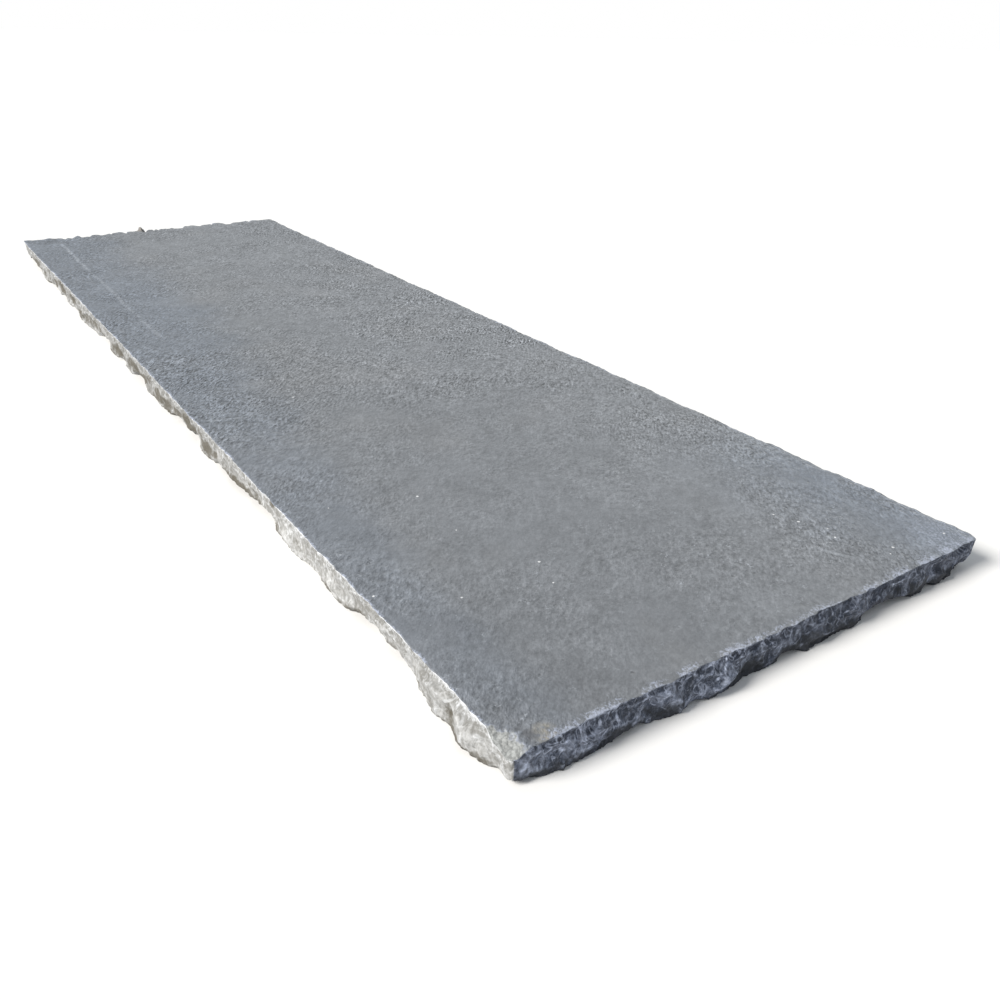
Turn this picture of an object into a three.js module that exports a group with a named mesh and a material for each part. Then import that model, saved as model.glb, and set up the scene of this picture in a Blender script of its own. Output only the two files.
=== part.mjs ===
/**
 * Limestone hearth slab: one piece of dark blue limestone with a riven top and four hand-dressed edges.
 *
 * Units are millimetres. X runs along the slab, Y across it and Z up. The origin is the middle of the bed,
 * the flat underside that the slab lies on. The near end is at +X and the long front edge is at -Y.
 */
import * as THREE from 'three';

// Driving sizes of the slab.
const LENGTH = 1500;
const WIDTH = 450;
const THICKNESS = 30;
const HALF_LENGTH = LENGTH / 2;
const HALF_WIDTH = WIDTH / 2;

// Worn radius of each corner, seen from above.
const CORNER_RADII = { nearFront: 6, nearBack: 8, farBack: 8, farFront: 6 };

// The near front corner has lost a thin flake: how far it runs along each edge, and how deep it is there.
const CORNER_FLAKE = { alongFront: 28, alongEnd: 11, drop: 7.5 };

// Riven top: a few long low waves. Each is shorter and lower than the one before it and turned from it.
const RELIEF = { waves: 7, longest: 340, shrink: 0.72, height: 0.34, fade: 0.8, turn: 2.4, shift: 1.7 };

// The top arris is bruised: the surface sinks towards it over this width, in waves along the edge.
const BRUISE_WIDTH = 10;
const BRUISE = { drop: 1.1, waves: [{ sway: 0.5, length: 37 }] };

// The far arris is crumbled: away from its corners it sinks deeper, over a greater width.
const FAR_BRUISE_WIDTH = 16;
const FAR_BRUISE = {
  drop: 2.9,
  waves: [{ sway: 1.3, length: 61 }, { sway: 0.9, length: 37 }, { sway: 0.7, length: 17 }],
};
const FAR_BRUISE_FROM_CORNER = 15;

// A crumb of stone left standing on the far arris.
const CRUMB = { fromMiddle: -25, inset: 4, radius: 6, height: 12 };

// The dressed faces lean in slightly on their way down to the bed.
const BATTER = 1.5;

// The arris is straighter than the face below it, but for the ragged far end: scars lose this share of their
// depth between two heights.
const ARRIS_HOLD = { from: 25, to: THICKNESS, loss: 0.55 };

// How bulges grow down the face, from the arris to full width, and how they round off at the foot.
const BULGE_GROWTH = 20;
const BULGE_FOOT = { height: 6, loss: 0.3 };

// Perimeter measure: anticlockwise from the near front corner, seen from above.
const PERIMETER = 2 * (LENGTH + WIDTH);
const BACK_START = WIDTH;
const FAR_START = WIDTH + LENGTH;
const FRONT_START = 2 * WIDTH + LENGTH;

// Each side of the outline: where it starts on the perimeter, its length and how many stations it gets.
const SIDES = {
  nearEnd: { start: 0, length: WIDTH, stations: 76 },
  back: { start: BACK_START, length: LENGTH, stations: 124 },
  farEnd: { start: FAR_START, length: WIDTH, stations: 64 },
  front: { start: FRONT_START, length: LENGTH, stations: 180 },
};

// Levels of the rows of points on the dressed faces, as shares of the height above the bed.
const FACE_LEVELS = [1, 0.9, 0.76, 0.61, 0.46, 0.31, 0.16, 0];

// Lattices inside the top and the bed: how far in they start and how many cells they have.
const TOP_LATTICE = { inset: 28, cellsX: 46, cellsY: 13 };
const BED_LATTICE = { inset: 60, cellsX: 11, cellsY: 3 };

// Bulges of the front face: distance from the near corner, half the width, how far the foot stands out.
const FRONT_BULGES = [
  { at: 44, half: 30, out: 10 },
  { at: 84, half: 34, out: 7 },
  { at: 232, half: 36, out: 2.5 },
  { at: 314, half: 34, out: 3 },
  { at: 452, half: 50, out: 1.5 },
  { at: 530, half: 30, out: 2.5 },
  { at: 678, half: 40, out: 2 },
  { at: 726, half: 26, out: 2 },
  { at: 812, half: 30, out: 2.5 },
  { at: 888, half: 34, out: 2 },
  { at: 1052, half: 60, out: 4 },
  { at: 1160, half: 30, out: 1 },
  { at: 1320, half: 40, out: 3 },
];

// Flakes lost from the foot of the front face: distance from the near corner, half the width,
// how high up the face they reach and how far in they cut the bed.
const FRONT_FOOT_FLAKES = [
  { at: 2, half: 24, up: 4, cut: 5 },
  { at: 160, half: 54, up: 8.5, cut: 10 },
  { at: 276, half: 18, up: 2.5, cut: 4 },
  { at: 374, half: 22, up: 9.5, cut: 10 },
  { at: 398, half: 20, up: 7.5, cut: 8 },
  { at: 446, half: 60, up: 5, cut: 7 },
  { at: 492, half: 14, up: 6, cut: 7 },
  { at: 568, half: 20, up: 9.5, cut: 10 },
  { at: 612, half: 38, up: 6.5, cut: 8 },
  { at: 768, half: 32, up: 8, cut: 9 },
  { at: 852, half: 18, up: 3.5, cut: 5 },
  { at: 940, half: 35, up: 9, cut: 10 },
  { at: 1114, half: 26, up: 3, cut: 5 },
  { at: 1188, half: 26, up: 5, cut: 6 },
  { at: 1262, half: 40, up: 3.5, cut: 5 },
  { at: 1380, half: 24, up: 7, cut: 8 },
  { at: 1456, half: 70, up: 8.5, cut: 9 },
];

// The same for the near end face, measured from the near front corner.
const NEAR_END_BULGES = [
  { at: 48, half: 42, out: 4 },
  { at: 76, half: 22, out: 2 },
  { at: 124, half: 22, out: 4.5 },
  { at: 161, half: 30, out: 7.5 },
  { at: 206, half: 24, out: 2 },
  { at: 262, half: 36, out: 5 },
  { at: 298, half: 18, out: 4.5 },
  { at: 370, half: 22, out: 4 },
  { at: 408, half: 20, out: 2.5 },
];
const NEAR_END_FOOT_FLAKES = [
  { at: 88, half: 14, up: 4, cut: 6 },
  { at: 142, half: 8, up: 2.5, cut: 4 },
  { at: 232, half: 11, up: 4, cut: 5 },
  { at: 331, half: 21, up: 7.5, cut: 10 },
  { at: 352, half: 18, up: 5, cut: 7 },
  { at: 391, half: 8, up: 4, cut: 5 },
  { at: 446, half: 40, up: 9, cut: 8 },
];

// Flake scars of the near end face, as the mason left them: distance from the near front corner, height
// above the bed, half the width, half the height, depth, and how much they lean (height per width).
const NEAR_END_SCARS = [
  { at: 9, z: 16, half: 7, tall: 11, depth: 1.6, lean: 0 },
  { at: 20, z: 23, half: 19, tall: 7, depth: 2.2, lean: -0.1 },
  { at: 41, z: 23, half: 9, tall: 6, depth: 2.4, lean: -0.3 },
  { at: 54, z: 24, half: 9, tall: 7, depth: 2.8, lean: -0.2 },
  { at: 30, z: 12, half: 27, tall: 9, depth: 2.6, lean: -0.1 },
  { at: 62, z: 7, half: 20, tall: 8, depth: 2.2, lean: 0.1 },
  { at: 70, z: 20, half: 10, tall: 10, depth: 1.6, lean: -0.4 },
  { at: 86, z: 20, half: 13, tall: 12, depth: 3.2, lean: -0.3 },
  { at: 108, z: 12, half: 19, tall: 9, depth: 2.4, lean: -0.2 },
  { at: 108, z: 26, half: 11, tall: 6, depth: 2.2, lean: 0 },
  { at: 130, z: 20, half: 12, tall: 12, depth: 2.4, lean: -0.4 },
  { at: 148, z: 26, half: 9, tall: 7, depth: 2.4, lean: 0 },
  { at: 160, z: 25, half: 7, tall: 8, depth: 2, lean: 0.1 },
  { at: 150, z: 13, half: 13, tall: 6, depth: 2.8, lean: 0 },
  { at: 174, z: 25, half: 9, tall: 6, depth: 2.6, lean: 0 },
  { at: 180, z: 15, half: 12, tall: 6, depth: 1.8, lean: -0.2 },
  { at: 168, z: 4, half: 20, tall: 6, depth: 2.2, lean: 0.1 },
  { at: 192, z: 25, half: 10, tall: 6, depth: 2.6, lean: 0.2 },
  { at: 200, z: 9, half: 22, tall: 8, depth: 2.6, lean: 0.1 },
  { at: 207, z: 26, half: 7, tall: 7, depth: 2, lean: 0 },
  { at: 226, z: 24, half: 11, tall: 8, depth: 3.2, lean: -0.2 },
  { at: 240, z: 17, half: 15, tall: 11, depth: 2.6, lean: -0.5 },
  { at: 262, z: 25, half: 12, tall: 8, depth: 2.6, lean: 0.1 },
  { at: 268, z: 13, half: 16, tall: 7, depth: 2.2, lean: -0.2 },
  { at: 262, z: 4, half: 24, tall: 5, depth: 2, lean: -0.1 },
  { at: 286, z: 22, half: 14, tall: 8, depth: 3, lean: 0.3 },
  { at: 298, z: 9, half: 15, tall: 7, depth: 2, lean: -0.4 },
  { at: 312, z: 25, half: 8, tall: 7, depth: 2.4, lean: 0 },
  { at: 326, z: 21, half: 12, tall: 9, depth: 3, lean: 0.4 },
  { at: 346, z: 24, half: 11, tall: 8, depth: 2.6, lean: 0 },
  { at: 358, z: 13, half: 20, tall: 8, depth: 2.6, lean: -0.2 },
  { at: 372, z: 4, half: 12, tall: 7, depth: 1.8, lean: 0 },
  { at: 381, z: 23, half: 14, tall: 7, depth: 2.4, lean: -0.3 },
  { at: 402, z: 16, half: 30, tall: 6, depth: 4, lean: -0.2 },
  { at: 424, z: 24, half: 15, tall: 6, depth: 2.6, lean: 0 },
  { at: 434, z: 8, half: 14, tall: 7, depth: 2, lean: 0.1 },
];

// Flake scars that run along a side in rows: an upper row struck from the arris and a lower, wider one.
const SCAR_ROWS = [
  { z: [23, 27], half: [9, 17], tall: [6, 10], depth: [1.4, 3], step: 1.25, lean: 0.35 },
  { z: [7, 15], half: [14, 27], tall: [7, 11], depth: [1.4, 3.4], step: 1.3, lean: 0.3 },
];
const SEEDS = { front: 1207, back: 3301, farEnd: 4409 };
const FAR_END_DEPTH = 2;

// Bulges and foot flakes of the back edge and the far end, which follow one after another at random.
const BULGE_RUN = { gap: [50, 120], half: [24, 46], out: [1, 5] };
const FOOT_FLAKE_RUN = { gap: [45, 120], half: [16, 44], up: [5, 12], cut: [5, 11] };

// Park and Miller's random number generator, so that the stone is the same every time.
const DICE = { factor: 48271, modulus: 2147483647 };

/** A random number generator: each call gives a number between low and high. */
function makeDice(seed) {
  let state = seed;
  return ([low, high]) => {
    state = (state * DICE.factor) % DICE.modulus;
    return low + (high - low) * state / DICE.modulus;
  };
}

/** 0 below the first limit, 1 above the second, and smooth between them. */
function ease(value, from, to) {
  const t = THREE.MathUtils.clamp((value - from) / (to - from), 0, 1);
  return t * t * (3 - 2 * t);
}

/** Point of the sharp-cornered outline at a perimeter measure. */
function outlinePoint(s) {
  if (s < BACK_START) return new THREE.Vector2(HALF_LENGTH, s - HALF_WIDTH);
  if (s < FAR_START) return new THREE.Vector2(HALF_LENGTH - (s - BACK_START), HALF_WIDTH);
  if (s < FRONT_START) return new THREE.Vector2(-HALF_LENGTH, HALF_WIDTH - (s - FAR_START));
  return new THREE.Vector2(s - FRONT_START - HALF_LENGTH, -HALF_WIDTH);
}

/** Perimeter measure of a point on a rectangle with the given half sides. */
function perimeterMeasure(x, y, halfLength, halfWidth) {
  const u = x / halfLength;
  const v = y / halfWidth;
  if (u >= Math.abs(v) && v < 1) return HALF_WIDTH * (v + 1);
  if (v >= Math.abs(u) && u > -1) return BACK_START + HALF_LENGTH * (1 - u);
  if (-u >= Math.abs(v) && v > -1) return FAR_START + HALF_WIDTH * (1 - v);
  return FRONT_START + HALF_LENGTH * (u + 1);
}

/** Shortest way along the outline between two perimeter measures. */
function alongOutline(a, b) {
  const apart = Math.abs(a - b) % PERIMETER;
  return Math.min(apart, PERIMETER - apart);
}

/** Signed way along the outline from b to a. */
function signedAlong(a, b) {
  const apart = (a - b + 1.5 * PERIMETER) % PERIMETER;
  return apart - PERIMETER / 2;
}

/** Worn radius of the corner that a point is nearest to. */
function cornerRadius(x, y) {
  if (x > 0) return y > 0 ? CORNER_RADII.nearBack : CORNER_RADII.nearFront;
  return y > 0 ? CORNER_RADII.farBack : CORNER_RADII.farFront;
}

/** Point and outward direction of the round-cornered outline at a perimeter measure. */
function wornOutline(s) {
  const sharp = outlinePoint(s);
  const radius = cornerRadius(sharp.x, sharp.y);
  const overX = Math.max(0, Math.abs(sharp.x) - (HALF_LENGTH - radius)) * Math.sign(sharp.x);
  const overY = Math.max(0, Math.abs(sharp.y) - (HALF_WIDTH - radius)) * Math.sign(sharp.y);
  const over = new THREE.Vector2(overX, overY);
  const outward = over.clone().normalize();
  const point = sharp.clone().sub(over).addScaledVector(outward, radius);
  return { point, outward };
}

/** Flakes or bulges listed by their distance from the near front corner, along the front. */
function fromNearCornerAlongFront(list) {
  return list.map((item) => ({ ...item, s: PERIMETER - item.at }));
}

/** Flakes or bulges listed by their distance from the near front corner, along the near end. */
function fromNearCornerAlongEnd(list) {
  return list.map((item) => ({ ...item, s: item.at }));
}

/** A row of flake scars along one side, each overlapping the one before it. */
function scarRow(side, row, roll, depthFactor) {
  const scars = [];
  let s = side.start;
  while (s < side.start + side.length) {
    const half = roll(row.half);
    scars.push({
      s: s + half / 2,
      half,
      z: roll(row.z),
      tall: roll(row.tall),
      depth: roll(row.depth) * depthFactor,
      lean: roll([-row.lean, row.lean]),
    });
    s += half * row.step;
  }
  return scars;
}

/** Both rows of flake scars of one side. */
function dressedSide(side, seed, depthFactor = 1) {
  const roll = makeDice(seed);
  return SCAR_ROWS.flatMap((row) => scarRow(side, row, roll, depthFactor));
}

/** Bulges or foot flakes that follow one another along a side. */
function randomRun(side, run, seed) {
  const roll = makeDice(seed);
  const items = [];
  let s = side.start + roll(run.gap) / 2;
  while (s < side.start + side.length) {
    const item = { s };
    for (const [key, range] of Object.entries(run)) {
      if (key !== 'gap') item[key] = roll(range);
    }
    items.push(item);
    s += roll(run.gap);
  }
  return items;
}

const SCARS = [
  ...fromNearCornerAlongEnd(NEAR_END_SCARS),
  ...dressedSide(SIDES.front, SEEDS.front),
  ...dressedSide(SIDES.back, SEEDS.back),
  ...dressedSide(SIDES.farEnd, SEEDS.farEnd, FAR_END_DEPTH),
];
const BULGES = [
  ...fromNearCornerAlongEnd(NEAR_END_BULGES),
  ...fromNearCornerAlongFront(FRONT_BULGES),
  ...randomRun(SIDES.back, BULGE_RUN, SEEDS.back),
  ...randomRun(SIDES.farEnd, BULGE_RUN, SEEDS.farEnd),
];
const FOOT_FLAKES = [
  ...fromNearCornerAlongEnd(NEAR_END_FOOT_FLAKES),
  ...fromNearCornerAlongFront(FRONT_FOOT_FLAKES),
  ...randomRun(SIDES.back, FOOT_FLAKE_RUN, SEEDS.back),
  ...randomRun(SIDES.farEnd, FOOT_FLAKE_RUN, SEEDS.farEnd),
];

/** How far the bulges push a dressed face out at a height above the bed. */
function bulge(s, z) {
  const growth = ease(THICKNESS - z, 0, BULGE_GROWTH);
  const foot = 1 - BULGE_FOOT.loss * (1 - ease(z, 0, BULGE_FOOT.height));
  let out = 0;
  for (const item of BULGES) {
    const share = alongOutline(s, item.s) / item.half;
    if (share < 1) out = Math.max(out, item.out * (1 - share * share) ** 2);
  }
  return out * growth * foot;
}

/** Share of a scar's depth that is left at a place on the dressed faces. */
function arrisHold(s, z) {
  if (s > FAR_START && s < FRONT_START) return 1;
  return 1 - ARRIS_HOLD.loss * ease(z, ARRIS_HOLD.from, ARRIS_HOLD.to);
}

/** Depth of the deepest flake scar at a place on the dressed faces. */
function scarDepth(s, z) {
  let depth = 0;
  for (const scar of SCARS) {
    const along = signedAlong(s, scar.s);
    if (Math.abs(along) > scar.half) continue;
    const level = (z - scar.z - scar.lean * along) / scar.tall;
    const share = (along / scar.half) ** 2 + level * level;
    depth = Math.max(depth, scar.depth * (1 - share));
  }
  return depth * arrisHold(s, z);
}

/** Depth of the deepest foot flake at a place on the dressed faces. */
function footFlakeDepth(s, z) {
  let depth = 0;
  for (const flake of FOOT_FLAKES) {
    const along = alongOutline(s, flake.s) / flake.half;
    const level = z / flake.up;
    depth = Math.max(depth, flake.cut * (1 - along ** 3 - level * level));
  }
  return depth;
}

/** How far a dressed face stands out from the outline, negative where it is cut back. */
function faceOffset(s, z) {
  const batter = BATTER * (1 - z / THICKNESS);
  return bulge(s, z) - batter - Math.max(scarDepth(s, z), footFlakeDepth(s, z));
}

/** How far the riven top sinks below its highest plane. */
function rivenSink(x, y) {
  let sink = 0;
  let height = RELIEF.height;
  let length = RELIEF.longest;
  for (let wave = 0; wave < RELIEF.waves; wave += 1) {
    const angle = wave * RELIEF.turn;
    const way = x * Math.cos(angle) + y * Math.sin(angle);
    sink += height * (1 + Math.sin(way * 2 * Math.PI / length + wave * RELIEF.shift));
    height *= RELIEF.fade;
    length *= RELIEF.shrink;
  }
  return sink;
}

/** How far the flake lost from the near front corner lowers the top. */
function cornerFlakeDrop(x, y) {
  const alongFront = Math.max(0, HALF_LENGTH - x) / CORNER_FLAKE.alongFront;
  const alongEnd = Math.max(0, HALF_WIDTH + y) / CORNER_FLAKE.alongEnd;
  return CORNER_FLAKE.drop * Math.max(0, 1 - alongFront ** 3 - alongEnd);
}

/** Height of the crumb on the far arris. */
function crumbRise(x, y) {
  const away = Math.hypot(x + HALF_LENGTH - CRUMB.inset, y - CRUMB.fromMiddle) / CRUMB.radius;
  return CRUMB.height * Math.max(0, 1 - away * away);
}

/** Height of the top at a place. */
function topHeight(x, y) {
  return THICKNESS - rivenSink(x, y) - cornerFlakeDrop(x, y) + crumbRise(x, y);
}

/** How far one kind of bruise lies below the top at a perimeter measure. */
function bruiseDepth(bruise, s) {
  let depth = bruise.drop;
  for (const wave of bruise.waves) depth += wave.sway * Math.sin(s * 2 * Math.PI / wave.length);
  return depth;
}

/** How far the bruised arris lies below the top at a perimeter measure. */
function bruiseDrop(s) {
  const fromBack = ease(s, FAR_START, FAR_START + FAR_BRUISE_FROM_CORNER);
  const fromFront = ease(s, FRONT_START, FRONT_START - FAR_BRUISE_FROM_CORNER);
  return THREE.MathUtils.lerp(bruiseDepth(BRUISE, s), bruiseDepth(FAR_BRUISE, s), fromBack * fromFront);
}

/** The slab's skin while it grows: its points and its triangles. */
class Skin {
  constructor() {
    this.points = [];
    this.triangles = [];
  }

  /** Adds a point and returns its number. */
  point(x, y, z) {
    this.points.push(x, y, z);
    return this.points.length / 3 - 1;
  }

  /** Adds a triangle, or turns it over where the skin faces down. */
  triangle(a, b, c, faceDown = false) {
    if (faceDown) this.triangles.push(a, c, b);
    else this.triangles.push(a, b, c);
  }

  /** Joins two closed loops of the same number of points, the first one outside or below. */
  band(lower, upper) {
    lower.forEach((corner, i) => {
      const next = (i + 1) % lower.length;
      this.triangle(corner, lower[next], upper[next]);
      this.triangle(corner, upper[next], upper[i]);
    });
  }

  /** Joins an outer loop to an inner one with fewer points, both sorted by perimeter measure. */
  lace(outer, inner, faceDown) {
    let i = 0;
    let j = 0;
    while (i < outer.length || j < inner.length) {
      const a = outer[i % outer.length];
      const b = inner[j % inner.length];
      const nextOuter = outer[(i + 1) % outer.length];
      const nextInner = inner[(j + 1) % inner.length];
      const outerAt = i + 1 < outer.length ? nextOuter.s : PERIMETER + nextOuter.s;
      const innerAt = j + 1 < inner.length ? nextInner.s : PERIMETER + nextInner.s;
      if (j >= inner.length || (i < outer.length && outerAt <= innerAt)) {
        this.triangle(a.id, nextOuter.id, b.id, faceDown);
        i += 1;
      } else {
        this.triangle(a.id, nextInner.id, b.id, faceDown);
        j += 1;
      }
    }
  }

  /** A lattice of points inside the outline; returns its rim, sorted by perimeter measure. */
  lattice(plan, heightAt, faceDown) {
    const halfLength = HALF_LENGTH - plan.inset;
    const halfWidth = HALF_WIDTH - plan.inset;
    const rim = [];
    const ids = [];
    for (let row = 0; row <= plan.cellsY; row += 1) {
      ids.push([]);
      for (let column = 0; column <= plan.cellsX; column += 1) {
        const x = halfLength * (2 * column / plan.cellsX - 1);
        const y = halfWidth * (2 * row / plan.cellsY - 1);
        const id = this.point(x, y, heightAt(x, y));
        ids[row].push(id);
        const onRim = row === 0 || row === plan.cellsY || column === 0 || column === plan.cellsX;
        if (onRim) rim.push({ id, s: perimeterMeasure(x, y, halfLength, halfWidth) });
      }
    }
    for (let row = 0; row < plan.cellsY; row += 1) {
      for (let column = 0; column < plan.cellsX; column += 1) {
        const [a, b] = [ids[row][column], ids[row][column + 1]];
        const [d, c] = [ids[row + 1][column], ids[row + 1][column + 1]];
        this.triangle(a, b, c, faceDown);
        this.triangle(a, c, d, faceDown);
      }
    }
    return rim.sort((p, q) => p.s - q.s);
  }

  /** The finished geometry. */
  toGeometry() {
    const geometry = new THREE.BufferGeometry();
    geometry.setAttribute('position', new THREE.Float32BufferAttribute(this.points, 3));
    geometry.setIndex(this.triangles);
    geometry.computeVertexNormals();
    return geometry;
  }
}

/** Perimeter measures of all stations, with extra ones where the crumb stands. */
function stationMeasures() {
  const measures = [];
  for (const side of Object.values(SIDES)) {
    for (let i = 0; i < side.stations; i += 1) {
      measures.push(side.start + side.length * i / side.stations);
    }
  }
  const crumbAt = FAR_START + HALF_WIDTH - CRUMB.fromMiddle;
  measures.push(crumbAt - CRUMB.radius, crumbAt, crumbAt + CRUMB.radius);
  return measures.sort((a, b) => a - b);
}

/** Loops of points down the dressed faces, from the arris to the bed. */
function dressedLoops(skin, measures) {
  const loops = FACE_LEVELS.map(() => []);
  for (const s of measures) {
    const { point, outward } = wornOutline(s);
    const arris = point.clone().addScaledVector(outward, faceOffset(s, THICKNESS));
    const arrisHeight = topHeight(arris.x, arris.y) - bruiseDrop(s);
    FACE_LEVELS.forEach((level, row) => {
      const z = arrisHeight * level;
      const place = point.clone().addScaledVector(outward, faceOffset(s, z));
      loops[row].push(skin.point(place.x, place.y, z));
    });
  }
  return loops;
}

/** The loop on the top where the bruised arris ends. */
function bruiseLoop(skin, measures) {
  return measures.map((s) => {
    const sharp = outlinePoint(s);
    const x = sharp.x * (1 - (sharp.x > 0 ? BRUISE_WIDTH : FAR_BRUISE_WIDTH) / HALF_LENGTH);
    const y = sharp.y * (1 - BRUISE_WIDTH / HALF_WIDTH);
    return skin.point(x, y, topHeight(x, y));
  });
}

/** Puts a loop's point numbers beside their perimeter measures. */
function withMeasures(loop, measures) {
  return loop.map((id, i) => ({ id, s: measures[i] }));
}

/** The whole slab as one closed skin. */
function slabGeometry() {
  const skin = new Skin();
  const measures = stationMeasures();
  const loops = dressedLoops(skin, measures);
  for (let row = 1; row < loops.length; row += 1) skin.band(loops[row], loops[row - 1]);
  const inner = bruiseLoop(skin, measures);
  skin.band(loops[0], inner);
  const topRim = skin.lattice(TOP_LATTICE, topHeight, false);
  skin.lace(withMeasures(inner, measures), topRim, false);
  const bedRim = skin.lattice(BED_LATTICE, () => 0, true);
  skin.lace(withMeasures(loops[loops.length - 1], measures), bedRim, true);
  return skin.toGeometry();
}

/** The slab, named and coloured. */
function makeSlab() {
  const stone = new THREE.MeshStandardMaterial({ color: 0x7f848b, roughness: 0.85, metalness: 0 });
  const slab = new THREE.Mesh(slabGeometry(), stone);
  slab.name = 'hearth_slab';
  return slab;
}

const hearth = new THREE.Group();
hearth.add(makeSlab());

export default hearth;
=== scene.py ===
"""Limestone hearth slab: a riven stone with four hand-dressed edges, on a plain studio floor.

Lengths are millimetres while the stone is worked, and the finished mesh is scaled to metres.
X runs along the slab with the near end at +X, the long front edge is at -Y, and Z is up from the bed.
A place on a dressed face is given by s, the measure along the perimeter, anticlockwise from the near
front corner, and by z, the height above the bed.
"""

import logging
import math
from dataclasses import astuple, dataclass
from enum import Enum
from functools import reduce
from typing import Any, Iterable, Iterator

import bmesh
import bpy
from mathutils import Matrix, Vector, noise


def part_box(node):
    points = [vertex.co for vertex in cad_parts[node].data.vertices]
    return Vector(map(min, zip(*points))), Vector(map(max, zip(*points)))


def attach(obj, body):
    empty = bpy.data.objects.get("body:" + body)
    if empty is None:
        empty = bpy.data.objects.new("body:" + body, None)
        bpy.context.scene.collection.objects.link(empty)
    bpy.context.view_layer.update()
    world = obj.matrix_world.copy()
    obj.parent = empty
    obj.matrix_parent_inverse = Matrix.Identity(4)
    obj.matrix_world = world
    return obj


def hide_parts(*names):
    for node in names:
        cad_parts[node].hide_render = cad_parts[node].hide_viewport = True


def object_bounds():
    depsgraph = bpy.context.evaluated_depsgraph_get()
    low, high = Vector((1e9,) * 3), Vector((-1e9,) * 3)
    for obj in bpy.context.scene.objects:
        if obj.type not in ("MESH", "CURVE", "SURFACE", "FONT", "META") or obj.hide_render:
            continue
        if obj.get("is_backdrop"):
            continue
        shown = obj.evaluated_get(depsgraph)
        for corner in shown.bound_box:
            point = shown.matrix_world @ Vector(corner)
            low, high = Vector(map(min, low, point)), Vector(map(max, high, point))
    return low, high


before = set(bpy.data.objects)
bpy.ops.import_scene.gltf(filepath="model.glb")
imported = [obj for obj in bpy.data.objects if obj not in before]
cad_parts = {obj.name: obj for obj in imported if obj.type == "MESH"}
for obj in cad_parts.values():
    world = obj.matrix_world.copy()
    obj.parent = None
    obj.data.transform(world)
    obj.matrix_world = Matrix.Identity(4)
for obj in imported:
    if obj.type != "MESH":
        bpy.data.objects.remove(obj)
CAD_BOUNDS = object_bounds()

LOG = logging.getLogger("hearth")
CAD_NODE = "hearth_slab"

MM = 0.001
LENGTH = 1500.0
WIDTH = 450.0
THICKNESS = 30.0
HALF_LENGTH = LENGTH / 2
HALF_WIDTH = WIDTH / 2
PERIMETER = 2 * (LENGTH + WIDTH)

Colour = tuple[float, float, float, float]
Range = tuple[float, float]
Spot = tuple[float, float, float]
Socket = bpy.types.NodeSocket

# Bulges of the front face: distance from the near front corner, half the width, how far they stand out.
FRONT_BULGES = (
    (44, 30, 10), (84, 34, 7), (232, 36, 2.5), (314, 34, 3), (452, 50, 1.5), (530, 30, 2.5), (678, 40, 2),
    (726, 26, 2), (812, 30, 2.5), (888, 34, 2), (1052, 60, 4), (1160, 30, 1), (1320, 40, 3),
)
# Flakes lost from the foot of the front face: distance from the near front corner, half the width, how
# high up the face they reach, how far in they cut the bed.
FRONT_FOOT_FLAKES = (
    (2, 24, 4, 5), (160, 54, 8.5, 10), (276, 18, 2.5, 4), (374, 22, 9.5, 10), (398, 20, 7.5, 8),
    (446, 60, 5, 7), (492, 14, 6, 7), (568, 20, 9.5, 10), (612, 38, 6.5, 8), (768, 32, 8, 9),
    (852, 18, 3.5, 5), (940, 35, 9, 10), (1114, 26, 3, 5), (1188, 26, 5, 6), (1262, 40, 3.5, 5),
    (1380, 24, 7, 8), (1456, 70, 8.5, 9),
)
# The same for the near end face.
NEAR_END_BULGES = (
    (48, 42, 4), (76, 22, 2), (124, 22, 4.5), (161, 30, 7.5), (206, 24, 2), (262, 36, 5), (298, 18, 4.5),
    (370, 22, 4), (408, 20, 2.5),
)
NEAR_END_FOOT_FLAKES = (
    (88, 14, 4, 6), (142, 8, 2.5, 4), (232, 11, 4, 5), (331, 21, 7.5, 10), (352, 18, 5, 7),
    (391, 8, 4, 5), (446, 40, 9, 8),
)
# Crumbs that cling to the foot of the near end face: distance from the near front corner, half the width,
# how far they stand out.
NEAR_END_CRUMBS = (
    (35, 2.5, 1.5), (127, 3, 1.5), (247, 4, 2), (415, 3.5, 3.5), (428, 4, 2.5), (437, 5, 3),
)
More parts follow.
